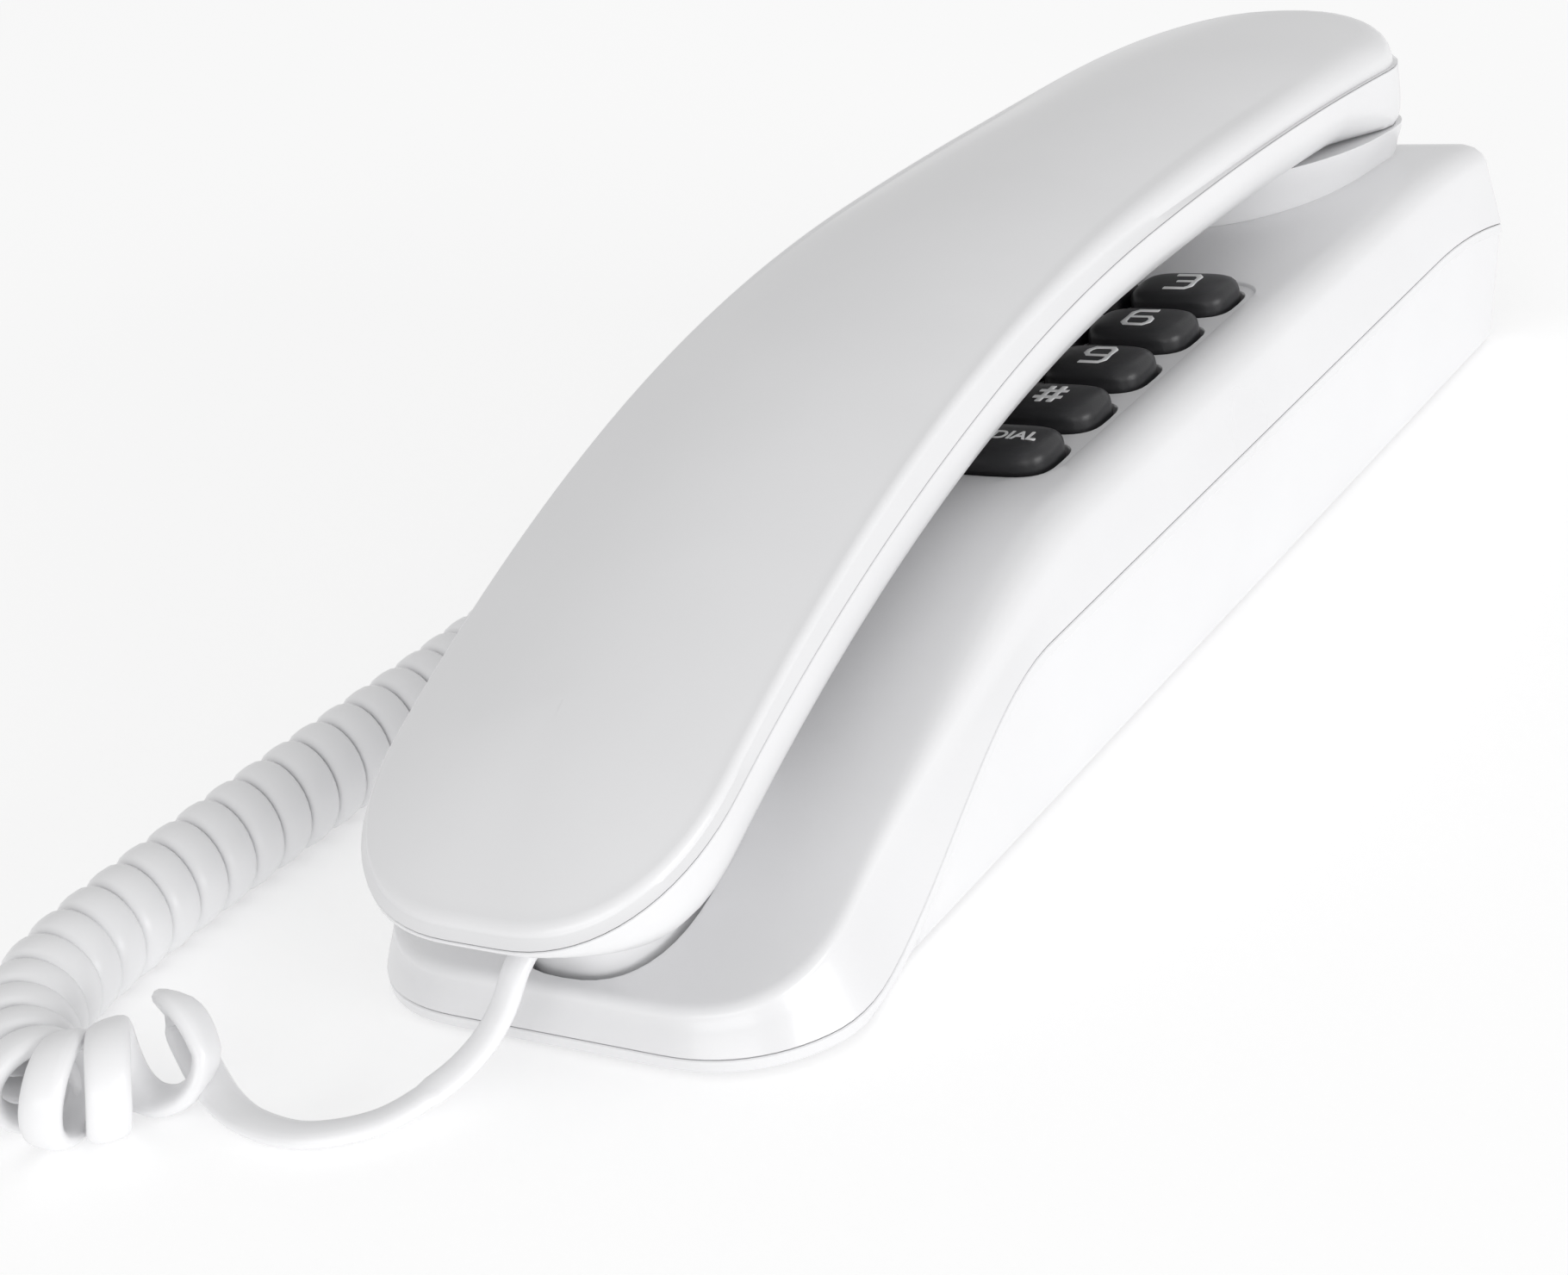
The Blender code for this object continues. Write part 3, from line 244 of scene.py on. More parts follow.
# handset cord, in metres: a flat ribbon that leaves the handset, is wound beside the base and goes into its side
cord = {
    "width": 0.0046,
    "thick": 0.0023,
    "leadWidth": 0.0031,
    "leadThick": 0.0019,
    "outer": 0.0060,
    "pitch": 0.00478,
    "stepsPerTurn": 30,
    "sides": 14,
    "floorGap": 0.0003,
    "leadStep": 0.0011,
    "axisStep": 0.0003,
    "tailStep": 0.0012,
    "upTo": 0.35,  # share of the lead that hangs, with its flat side turned to the front
    "hangingFace": (0, -0.6, 1),
    "climbFrom": 0.72,  # share of the lead after which it climbs into the first turn
    "climbRun": 0.28,
    "climbingFace": (-0.75, 0.45, 0.75),
    "lookAhead": 8,  # steps either side that give the axis its direction
    "tailSteps": 40,
    "cornerPowers": (0.80, 0.86),
    "lead": [
        (0.0000, -0.0906, 0.0132), (0.0000, -0.0935, 0.0132), (-0.0003, -0.0968, 0.0116),
        (-0.0012, -0.0992, 0.0082), (-0.0028, -0.1020, 0.0052), (-0.0052, -0.1060, 0.0030),
        (-0.0090, -0.1115, 0.0016), (-0.0150, -0.1155, 0.0014), (-0.0212, -0.1158, 0.0014),
        (-0.0268, -0.1142, 0.0016), (-0.0322, -0.1114, 0.0028), (-0.0368, -0.1086, 0.0056),
        (-0.0388, -0.1080, 0.0088),
    ],
    "looseAxis": [  # one point for each half turn
        (-0.0362, -0.1104), (-0.0346, -0.1154), (-0.0360, -0.1186), (-0.0379, -0.1206), (-0.0396, -0.1220),
        (-0.0415, -0.1226), (-0.0440, -0.1222), (-0.0462, -0.1210), (-0.0486, -0.1196), (-0.0508, -0.1178),
    ],
    "closedAxis": [
        (-0.0508, -0.1178), (-0.0532, -0.1150), (-0.0554, -0.1112), (-0.0572, -0.1060), (-0.0582, -0.0995),
        (-0.0586, -0.0900), (-0.0584, -0.0760), (-0.0577, -0.0600), (-0.0566, -0.0380), (-0.0562, -0.0100),
        (-0.0562, 0.0150), (-0.0564, 0.0350), (-0.0560, 0.0490),
    ],
    "tail": [
        (-0.0545, 0.0560, 0.0022), (-0.0525, 0.0620, 0.0016), (-0.0495, 0.0670, 0.0022),
        (-0.0455, 0.0703, 0.0050), (-0.0412, 0.0718, 0.0082), (-0.0360, 0.0720, 0.0100),
        (-0.0300, 0.0720, 0.0100), (-0.0286, 0.0720, 0.0100),
    ],
    "relaxed": {  # rounds, and how many steps before and after the join take part
        "leadPoints": (12, 8, 8), "leadFaces": (30, 14, 14), "tailPoints": (6, 10, 8), "tailFaces": (20, 12, 20),
    },
}


# place at share t between b and c, on the smooth line through a, b, c and d
def curvePoint(a, b, c, d, t):
    bend = (2 * a - 5 * b + 4 * c - d) * t * t
    twist = (3 * b - a - 3 * c + d) * t ** 3
    return (2 * b + (c - a) * t + bend + twist) / 2


def smoothLine(points, step):
    points = [Vector(p) for p in points]
    padded = [points[0] * 2 - points[1]] + points + [points[-1] * 2 - points[-2]]
    line = []
    for a, b, c, d in zip(padded, padded[1:], padded[2:], padded[3:]):
        count = max(1, round((c - b).length / step))
        for k in range(count):
            line.append(curvePoint(a, b, c, d, k / count))
    return line + [points[-1]]


# points of the coil's axis, one for each step of its winding
def coilAxis():
    steps = cord["stepsPerTurn"]
    height = cord["outer"] + cord["floorGap"]
    loose = [Vector((x, y, height)) for x, y in cord["looseAxis"]]
    padded = [loose[0] * 2 - loose[1]] + loose + [Vector((*cord["closedAxis"][1], height))]
    line = []
    for a, b, c, d in zip(padded, padded[1:], padded[2:], padded[3:]):
        for k in range(steps // 2):
            line.append(curvePoint(a, b, c, d, k * 2 / steps))
    dense = smoothLine([(x, y, height) for x, y in cord["closedAxis"]], cord["axisStep"])
    spacing = cord["pitch"] / steps
    along, wanted = 0.0, 0.0
    for a, b in zip(dense, dense[1:]):
        reach = (b - a).length
        while wanted <= along + reach:
            line.append(a.lerp(b, (wanted - along) / reach))
            wanted += spacing
        along += reach
    return line


# direction of a line at one of its points
def directionAt(line, i, reach=1):
    return (line[min(i + reach, len(line) - 1)] - line[max(i - reach, 0)]).normalized()


# a flat side's direction made square to the way ahead
def squareTo(face, ahead):
    return (face - ahead * face.dot(ahead)).normalized()


# centre points of the whole ribbon, the directions of its flat side, and how many points the lead has
def cordRoute():
    lead = smoothLine(cord["lead"], cord["leadStep"])
    faces = []
    for i in range(len(lead)):
        share = i / len(lead)
        face = Vector(cord["hangingFace"] if share < cord["upTo"] else (0, 0, 1))
        climb = min(1, max(0, (share - cord["climbFrom"]) / cord["climbRun"]))
        face = face.lerp(Vector(cord["climbingFace"]), climb * climb)
        faces.append(squareTo(face, directionAt(lead, i)))
    axis = coilAxis()
    radius = cord["outer"] - cord["thick"] / 2
    winding, windingFaces = [], []
    up = Vector((0, 0, 1))
    for i, middle in enumerate(axis):
        ahead = directionAt(axis, i, cord["lookAhead"])
        angle = 2 * math.pi * i / cord["stepsPerTurn"]
        outward = up * math.cos(angle) - ahead.cross(up).normalized() * math.sin(angle)
        winding.append(middle + outward * radius)
        windingFaces.append(outward)
    tail = smoothLine([winding[-1]] + [Vector(p) for p in cord["tail"]], cord["tailStep"])[1:]
    tailFaces = []
    for i in range(len(tail)):
        mix = min(1, i / (len(tail) * 0.5))  # the tail lies flat from halfway on
        face = windingFaces[-1].lerp(up, mix)
        tailFaces.append(squareTo(face, directionAt(tail, i)))
    return lead + winding + tail, faces + windingFaces + tailFaces, len(lead)


# evens out points or directions about a join
def relax(values, join, settings):
    rounds, before, after = settings
    for _ in range(rounds):
        old = [v.copy() for v in values]
        for i in range(max(1, join - before), min(len(values) - 1, join + after)):
            values[i] = (old[i - 1] + old[i] * 2 + old[i + 1]) / 4


def makeCord():
    points, faces, leadCount = cordRoute()
    tailStart = len(points) - cord["tailSteps"]
    relax(points, leadCount, cord["relaxed"]["leadPoints"])
    relax(faces, leadCount, cord["relaxed"]["leadFaces"])
    relax(points, tailStart, cord["relaxed"]["tailPoints"])
    relax(faces, tailStart, cord["relaxed"]["tailFaces"])
    sides, (widePower, thickPower) = cord["sides"], cord["cornerPowers"]
    rings = []
    for i, middle in enumerate(points):
        ahead = directionAt(points, i)
        outward = squareTo(faces[i], ahead)
        across = ahead.cross(outward)
        grown = min(1.0, i / leadCount) ** 2
        wide = cord["leadWidth"] + (cord["width"] - cord["leadWidth"]) * grown
        thick = cord["leadThick"] + (cord["thick"] - cord["leadThick"]) * grown
        ring = []
        for k in range(sides):
            angle = 2 * math.pi * (k + 0.5) / sides
            c, s = math.cos(angle), math.sin(angle)
            x = math.copysign(abs(c) ** widePower, c) * wide / 2
            z = math.copysign(abs(s) ** thickPower, s) * thick / 2
            ring.append(middle + across * x + outward * z)
        rings.append(ring)
    work = bmesh.new()
    loops = [[work.verts.new(p) for p in ring] for ring in rings]
    for a, b in zip(loops, loops[1:]):
        for i in range(sides):
            j = (i + 1) % sides
            work.faces.new((a[i], a[j], b[j], b[i]))
    work.faces.new(loops[0])
    work.faces.new(loops[-1])
    bmesh.ops.recalc_face_normals(work, faces=work.faces[:])
    data = bpy.data.meshes.new("handsetCord")
    work.to_mesh(data)
    work.free()
    piece = bpy.data.objects.new("handsetCord", data)
    bpy.context.scene.collection.objects.link(piece)
    data.shade_smooth()
    paint(piece, "cordPlastic")
    length = sum((b - a).length for a, b in zip(points, points[1:]))
    say(f"cord is {length:.3f} m along its ribbon, {len(points)} steps")
    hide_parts("cord_lead", "cord_coil", "cord_tail")
    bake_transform(piece)
    return piece


makeCord()


# base of the phone, in millimetres; "spine" is the line that the top and floor close towards
base = {
    "far": 102.5, "front": -94.5, "half": 30.0,
    "frontCorner": 17.0, "frontPower": 2.2, "farCorner": 6.0,
    "plateau": 31.0, "frontEdge": 6.5, "rampEnd": -22.65, "farDrop": 3.0, "farSlope": 30.0,
    "seamLow": 2.2, "seamHigh": 20.4, "seamFarDrop": 4.4,
    "lean": 1.0, "frontLean": 4.2, "softEdge": 4.2, "crispEdge": 1.3,
    "wall": 2.0, "undercut": 2.8, "ledge": 0.35, "floor": 0.6, "seamGap": 0.12,
    "farPower": 2.0, "planStep": 2.6, "spine": (-66, 76),
    "rampPulls": (0.25, 0.68), "rampLift": 2,
    "seamStart": 8.5, "seamRun": 48, "seamFarRun": 28, "seamChamfer": 0.12,
    "leanFrom": -76, "leanRun": 42, "leanLimit": 0.34, "edgeFrom": -78, "edgeRun": 45,
    "floorTop": 2.4, "ledgeDeep": 1.1, "ledgeSlope": 1.35, "ledgeFrom": -88, "ledgeRun": 20,
    "undercutFrom": -86, "undercutRun": 18, "footRound": 0.5,
}


def mm(x, y, z):
    return Vector((x, y, z)) * 0.001


def smoothStep(value):
    value = min(1.0, max(0.0, value))
    return value * value * (3 - 2 * value)


# height of the top face
def baseTop(y):
    if y >= base["rampEnd"]:
        past = max(0.0, y - (base["far"] - base["farSlope"])) / base["farSlope"]
        return base["plateau"] - base["farDrop"] * min(1.1, past) ** 2
    share = max(0.0, y - base["front"]) / (base["rampEnd"] - base["front"])
    first, second = base["rampPulls"]
    low, high = 0.0, 1.0
    for _ in range(30):  # halves the range until u is the place on the ramp's curve
        u = (low + high) / 2
        run = 3 * (1 - u) ** 2 * u * first + 3 * (1 - u) * u * u * second + u ** 3
        low, high = (u, high) if run < share else (low, u)
    foot = base["frontEdge"]
    start = (1 - u) ** 3 * foot + 3 * (1 - u) ** 2 * u * (foot + base["rampLift"])
    return start + (3 * (1 - u) * u * u + u ** 3) * base["plateau"]


def seamHeight(y):
    rise = smoothStep((y - base["front"] - base["seamStart"]) / base["seamRun"])
    past = max(0.0, y - (base["far"] - base["seamFarRun"])) / base["seamFarRun"]
    return base["seamLow"] + (base["seamHigh"] - base["seamLow"]) * rise - base["seamFarDrop"] * min(1.2, past) ** 2


# plan outline: its right half from the middle of the front end to the middle of the far end, then mirrored
def planOutline(half, start, end, startRound, startPower, endRound, endPower, step):
    flat = half - startRound
    right = [(flat * k / 4, start) for k in range(4)] if flat > 0.5 else [(0, start)]
    for k in range(19):
        angle = math.pi / 2 * k / 18
        right.append((half - startRound + startRound * math.sin(angle) ** (2 / startPower),
                      start + startRound - startRound * math.cos(angle) ** (2 / startPower)))
    first, last = start + startRound, end - endRound
    count = round((last - first) / step)
    right += [(half, first + (last - first) * k / count) for k in range(1, count)]
    for k in range(11):
        angle = math.pi / 2 * k / 10
        right.append((half - endRound + endRound * math.cos(angle) ** (2 / endPower),
                      last + endRound * math.sin(angle) ** (2 / endPower)))
    farFlat = half - endRound
    right += [(farFlat * (1 - k / 5), end) for k in range(1, 6)]
    clean = [right[0]]
    for p in right[1:]:  # leaves out points that fall together
        if math.dist(p, clean[-1]) > 0.05:
            clean.append(p)
    clean[0], clean[-1] = (0, start), (0, end)
    return clean + [(-x, y) for x, y in reversed(clean[1:-1])]


def inwardNormals(ring):
    normals = []
    for i, p in enumerate(ring):
        a, b = ring[i - 1], ring[(i + 1) % len(ring)]
        tangent = Vector((b[0] - a[0], b[1] - a[1]))
        normals.append(Vector((-tangent.y, tangent.x)).normalized())
    return normals


# plan points moved inwards, each by its own depth
def insetRing(ring, normals, depth):
    return [(x + n.x * d, y + n.y * d) for (x, y), n, d in zip(ring, normals, depth)]


def towardsMiddle(ring, frontEnd, farEnd, share):
    moved = []
    for x, y in ring:
        middle = min(farEnd, max(frontEnd, y))
        moved.append((x * (1 - share), y + (middle - y) * share))
    return moved


def lift(ring, heights):
    return [mm(x, y, z) for (x, y), z in zip(ring, heights)]


# rings of an edge that turns from a leaning side into a top face
def roundedEdge(ring, normals, lean, radius, topOf, rounds=5):
    rings = []
    for k in range(rounds + 1):
        u = k / rounds
        points = []
        for (x, y), n, a, r in zip(ring, normals, lean, radius):
            outer = (x + n.x * a, y + n.y * a)
            inner = (x + n.x * (a + r), y + n.y * (a + r))
            middleZ = topOf(*outer)
            endZ = topOf(*inner)
            w = ((1 - u) ** 2, 2 * u * (1 - u), u * u)
            px = w[0] * outer[0] + w[1] * outer[0] + w[2] * inner[0]
            py = w[0] * outer[1] + w[1] * outer[1] + w[2] * inner[1]
            pz = w[0] * (middleZ - r) + w[1] * middleZ + w[2] * endZ
            points.append(mm(px, py, pz))
        rings.append(points)
    return rings


def planOf(ring):
    return [(p.x * 1000, p.y * 1000) for p in ring]


# 1 in the low front zone, 0 by the keypad
def frontShare(y):
    return 1 - smoothStep((y - base["leanFrom"]) / base["leanRun"])


def basePlan():
    return planOutline(base["half"], base["front"], base["far"], base["frontCorner"], base["frontPower"],
                       base["farCorner"], base["farPower"], base["planStep"])


# rings of the upper shell, from inside under its top, down round the seam, up its side and over the top
def baseUpperRings():
    ring = basePlan()
    normals = inwardNormals(ring)
    seam = [seamHeight(y) for x, y in ring]
    lean, radius = [], []
    for (x, y), low in zip(ring, seam):
        wallHeight = max(0.5, baseTop(y) - low)
        zone = frontShare(y)
        lean.append(base["lean"] * (1 - zone) + min(base["frontLean"], wallHeight * base["leanLimit"]) * zone)
        soft = smoothStep((y - base["edgeFrom"]) / base["edgeRun"])
        radius.append(base["crispEdge"] + (base["softEdge"] - base["crispEdge"]) * soft)
    wall = base["wall"]
    chamfer = base["seamChamfer"]
    innerRing = insetRing(ring, normals, [wall] * len(ring))
    innerLean = insetRing(ring, normals, [wall + a for a in lean])

    def under(y):
        return baseTop(y) - wall

    bodyRings = []
    for share in (0.94, 0.6, 0.3, 0.08):
        plan = towardsMiddle(insetRing(innerLean, normals, [1.2] * len(ring)), *base["spine"], share)
        bodyRings.append(lift(plan, [under(y) for x, y in plan]))
    bodyRings.append(lift(innerLean, [max(under(y) - 0.8, s + 0.6) for (x, y), s in zip(innerLean, seam)]))
    bodyRings.append(lift(innerRing, seam))
    bodyRings.append(lift(insetRing(ring, normals, [chamfer] * len(ring)), seam))
    bodyRings.append(lift(ring, [s + chamfer for s in seam]))
    for share in (0.35, 0.7):
        plan = insetRing(ring, normals, [a * share for a in lean])
        heights = []
        for (x, y), a, s, r, n in zip(ring, lean, seam, radius, normals):
            endZ = baseTop(y + n.y * a) - r
            heights.append(s + 0.25 + (endZ - s - 0.25) * share)
        bodyRings.append(lift(plan, heights))
    edge = roundedEdge(ring, normals, lean, radius, lambda x, y: baseTop(y))
    bodyRings += edge
    last = planOf(edge[-1])
    for share in (0.04, 0.12, 0.24, 0.38, 0.52, 0.66, 0.80, 0.94):
        plan = towardsMiddle(last, *base["spine"], share)
        bodyRings.append(lift(plan, [baseTop(y) for x, y in plan]))
    return bodyRings


# rings of the lower shell, from its inner floor, over the seam and the ledge, and down to its underside
def baseLowerRings():
    ring = basePlan()
    normals = inwardNormals(ring)
    seam = [seamHeight(y) - base["seamGap"] for x, y in ring]
    room = [s - base["floor"] for s in seam]
    ledgeDrop = [min(base["ledgeDeep"], r * 0.3) for r in room]
    ledgeLow = [s - d * base["ledgeSlope"] for s, d in zip(seam, ledgeDrop)]
    step = [base["ledge"] * smoothStep((y - base["ledgeFrom"]) / base["ledgeRun"]) for x, y in ring]
    foot = [base["undercut"] * smoothStep((y - base["undercutFrom"]) / base["undercutRun"]) for x, y in ring]
    floorTop, chamfer, wall = base["floorTop"], base["seamChamfer"], base["wall"]
    rings = []
    inner = insetRing(ring, normals, [wall + f for f in foot])
    for share in (0.94, 0.5, 0.15):
        plan = towardsMiddle(inner, *base["spine"], share)
        rings.append(lift(plan, [floorTop if s > 3 else s - 0.4 for s in seam]))
    rings.append(lift(inner, [min(floorTop, s - 0.4) for s in seam]))
    rings.append(lift(insetRing(ring, normals, [wall] * len(ring)), seam))
    rings.append(lift(insetRing(ring, normals, [chamfer] * len(ring)), seam))
    rings.append(lift(ring, [s - chamfer for s in seam]))
    rings.append(lift(ring, [s - d for s, d in zip(seam, ledgeDrop)]))
    rings.append(lift(insetRing(ring, normals, step), ledgeLow))
    for share in (0.5, 1.0):
        plan = insetRing(ring, normals, [st + (f - st) * share for st, f in zip(step, foot)])
        heights = [low + (base["floor"] + base["footRound"] * min(1, r / 3) - low) * share
                   for low, r in zip(ledgeLow, room)]
        rings.append(lift(plan, heights))
    plan = insetRing(ring, normals, [f + base["footRound"] for f in foot])
    rings.append(lift(plan, [base["floor"]] * len(ring)))
    for share in (0.2, 0.6, 0.94):
        rings.append(lift(towardsMiddle(plan, *base["spine"], share), [base["floor"]] * len(ring)))
    return rings


# rings of an upright block: each entry is a margin about the outline and a height or a function of y
def blockRings(outline, heights):
    rings = []
    for margin, z in heights:
        plan = outline(margin)
        rings.append([mm(x, y, z(y) if callable(z) else z) for x, y in plan])
    return rings


def superPlan(centre, halfX, halfY, power, sides):
    def outline(margin):
        points = []
        for i in range(sides):
            angle = 2 * math.pi * i / sides - math.pi / 2
            c, s = math.cos(angle), math.sin(angle)
            points.append((centre[0] + (halfX + margin) * math.copysign(abs(c) ** (2 / power), c),
                           centre[1] + (halfY + margin) * math.copysign(abs(s) ** (2 / power), s)))
        return points
    return outline


# the two cups of the handset with their pockets in the base, and the keypad's openings, in millimetres
earCup = {
    "half": 18.0, "nose": 23.0, "middle": 81.0, "far": 100.4, "corner": 13.0,
    "wallFar": 99.2, "wall": (1.6, 22.4), "wallDown": 0.8,
    "pocketFloor": 23.8, "pocketFlare": 0.6, "pocketRound": 0.8,
    "bottom": [(-1.6, 24.6), (-0.6, 24.85), (-0.15, 25.4), (0, 26.4)],
    "flare": [(0, -9.0), (0.25, -6.6), (0.8, -4.4), (1.6, -2.5), (2.5, -0.9), (2.9, 0.4)], "lowest": 27.0,
}
micCup = {
    "centre": (0, -75.5), "half": (10.0, 14.5), "power": 2.6, "clear": 1.0,
    "wall": (1.4, 2.62), "wallDown": 0.9, "pocketFloor": 3.8, "pocketFlare": 0.5, "pocketRound": 1.2,
    "bottom": [(-1.4, 4.6), (-0.5, 4.85), (-0.1, 5.4), (0, 6.2)],
    "flare": [(0, -2.2, 6.4), (0.25, -1.0, 6.8), (0.9, -0.2, 7.2)], "top": (1.6, 0.8),
}
keypad = {
    "columns": (-13.9, 0, 13.9), "rows": (33.2, 21.3, 9.4, -2.5, -14.4), "half": (6.5, 4.45), "power": 3.5,
    "gap": 0.45, "hole": [(0, 26), (0, 30.3), (0.15, 30.55), (0.3, 33)],
    "recess": (22.1, 29.9), "recessMiddle": 9.4, "recessCorner": 4.5,
    "recessSides": [(-0.35, 30.5), (-0.1, 30.6), (0, 30.8), (0.12, 30.95), (0.35, 31.05), (0.5, 36)],
}
hookHole = {"centre": (0, 66.5), "half": (3.8, 2.8), "corner": 0.4, "deep": [(0, 20), (0, 26)]}
clearAbove = 6  # how far a pocket's cutter stands over the top


def earPlan(far):
    def outline(margin):
        half, nose = earCup["half"] + margin, earCup["nose"] + margin
        right = [(half * math.sin(math.pi / 2 * k / 16), earCup["middle"] - nose * math.cos(math.pi / 2 * k / 16))
                 for k in range(17)]
        end = far + min(margin, 1.0)
        corner = earCup["corner"] + margin
        right += [(half, earCup["middle"] + (end - corner - earCup["middle"]) * k / 3) for k in range(1, 4)]
        turns = [math.pi / 2 * k / 12 for k in range(1, 13)]
        right += [(half - corner + corner * math.cos(t), end - corner + corner * math.sin(t)) for t in turns]
        right += [((half - corner) * (1 - k / 4), end) for k in range(1, 4)]
        right.append((0, end))
        return right + [(-x, y) for x, y in reversed(right[1:-1])]
    return outline


def roundedPlan(centre, halfX, halfY, corner):
    def outline(margin):
        points = []
        hx, hy, r = halfX + margin, halfY + margin, corner + margin
        for turn in range(4):
            cx = centre[0] + (hx - r) * (1 if turn in (0, 3) else -1)
            cy = centre[1] + (hy - r) * (1 if turn in (0, 1) else -1)
            for k in range(9):
                angle = math.pi / 2 * (turn + k / 8)
                points.append((cx + r * math.cos(angle), cy + r * math.sin(angle)))
        start = min(range(len(points)), key=lambda i: (round(points[i][1], 4), abs(points[i][0])))
        return points[start:] + points[:start]
    return outline


def block(name, outline, heights):
    return growRings(name, blockRings(outline, heights), flatCaps=True)


# margins and heights of a pocket: floor, side, and a lip that flares out at the surface
def rimmed(floor, top, flare, bottomRound):
    heights = [(-bottomRound, floor), (-bottomRound * 0.3, floor + bottomRound * 0.3), (0, floor + bottomRound)]
    for k in range(4):
        angle = math.pi / 2 * k / 3
        rise = flare * math.sin(angle)
        out = flare * (1 - math.cos(angle))
        heights.append((out, (lambda y, r=rise: top(y) - flare + r)))
    heights.append((flare, lambda y: top(y) + clearAbove))
    return heights


def makeBaseUpper():
    piece = growRings("baseUpper", baseUpperRings())
    mic = superPlan(micCup["centre"], micCup["half"][0] + micCup["clear"], micCup["half"][1] + micCup["clear"],
                    micCup["power"], 48)
    walls = []
    for name, cup, plan in (("micWall", micCup, mic), ("earWall", earCup, earPlan(earCup["wallFar"]))):
        (margin, low), down = cup["wall"], cup["wallDown"]
        walls.append(block(name, plan, [(margin, low), (margin, lambda y: baseTop(y) - down)]))
    cut(piece, walls, "UNION")
    micSides = rimmed(micCup["pocketFloor"], baseTop, micCup["pocketFlare"], micCup["pocketRound"])
    earSides = rimmed(earCup["pocketFloor"], baseTop, earCup["pocketFlare"], earCup["pocketRound"])
    earSides[-1] = (1.0, lambda y: baseTop(y) + clearAbove)
    recess = roundedPlan((0, keypad["recessMiddle"]), *keypad["recess"], keypad["recessCorner"])
    tools = [block("micPocket", mic, micSides), block("earPocket", earPlan(earCup["far"]), earSides),
             block("recess", recess, keypad["recessSides"])]
    halfX, halfY = (half + keypad["gap"] for half in keypad["half"])
    for y in keypad["rows"]:
        for x in keypad["columns"]:
            hole = superPlan((x, y), halfX, halfY, keypad["power"], 36)
            tools.append(block("keyHole", hole, keypad["hole"]))
    hook = roundedPlan(hookHole["centre"], *hookHole["half"], hookHole["corner"])
    tools.append(block("hookHole", hook, hookHole["deep"]))
    cut(piece, tools)
    finishShell(piece, "whitePlastic", "base", "base_upper_shell")


def finishShell(piece, look, body, node, angle=34):
    makeActive(piece)
    bpy.ops.object.mode_set(mode="EDIT")
    bpy.ops.mesh.select_all(action="SELECT")
    bpy.ops.mesh.remove_doubles(threshold=0.000005)
    bpy.ops.mesh.dissolve_degenerate(threshold=0.000004)
    bpy.ops.object.mode_set(mode="OBJECT")
    smoothOff(piece, angle)
    weigh = piece.modifiers.new("weigh", "WEIGHTED_NORMAL")
    weigh.keep_sharp = True
    weigh.weight = 50
    makeActive(piece)
    bpy.ops.object.modifier_apply(modifier="weigh")
    paint(piece, look)
    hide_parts(node)
    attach(piece, body)
    say(f"{piece.name}: {len(piece.data.polygons)} faces")


# upright round tool: its radii and their heights
def barrel(name, centre, radii, sides=28):
    rings = []
    for radius, along in radii:
        ring = []
        for k in range(sides):
            angle = 2 * math.pi * k / sides
            ring.append(mm(centre[0] + radius * math.cos(angle), centre[1] + radius * math.sin(angle), along))
        rings.append(ring)
    return growRings(name, rings, flatCaps=True)


boxCorner = 0.4


def boxTool(name, low, high):
    centre = ((low[0] + high[0]) / 2, (low[1] + high[1]) / 2)
    outline = roundedPlan(centre, (high[0] - low[0]) / 2, (high[1] - low[1]) / 2, boxCorner)
    return block(name, outline, [(0, low[2]), (0, high[2])])


# openings of the lower shell, in millimetres: windows in its walls, two keyholes and four screws in its floor
openings = {
    "windows": {
        "lineWindow": ((-18.9, 98, 7.0), (-9.1, 106, 13.8)),
        "cordWindow": ((-33, 67.9, 6.7), (-24, 76.1, 13.3)),
        "ringerWindow": ((2.7, 98, 8.3), (10.7, 106, 11.7)),
        "dialWindow": ((13.2, 98, 8.3), (21.2, 106, 11.7)),
    },
    "keyholes": (-43.5, 39.5), "keyholeRadius": 4.0, "slotHalf": 2.2, "slotLong": 10.7,
    "screws": ((-21.3, -52), (21.3, -52), (-21.3, 81.5), (21.3, 81.5)),
    "seat": (3.2, 1.6), "bore": (1.7, 3.0), "below": -1, "through": 3.2,
}


def makeBaseLower():
    piece = growRings("baseLower", baseLowerRings())
    tools = [boxTool(name, low, high) for name, (low, high) in openings["windows"].items()]
    below, through = openings["below"], openings["through"]
    radius, half = openings["keyholeRadius"], openings["slotHalf"]
    for y in openings["keyholes"]:
        tools.append(barrel("keyhole", (0, y), [(radius, below), (radius, through)]))
        tools.append(boxTool("keySlot", (-half, y, below), (half, y + openings["slotLong"], through)))
    for place in openings["screws"]:
        for name in ("seat", "bore"):
            radius, top = openings[name]
            tools.append(barrel(name, place, [(radius, below), (radius, top)]))
    cut(piece, tools)
    finishShell(piece, "whitePlastic", "base", "base_lower_shell")


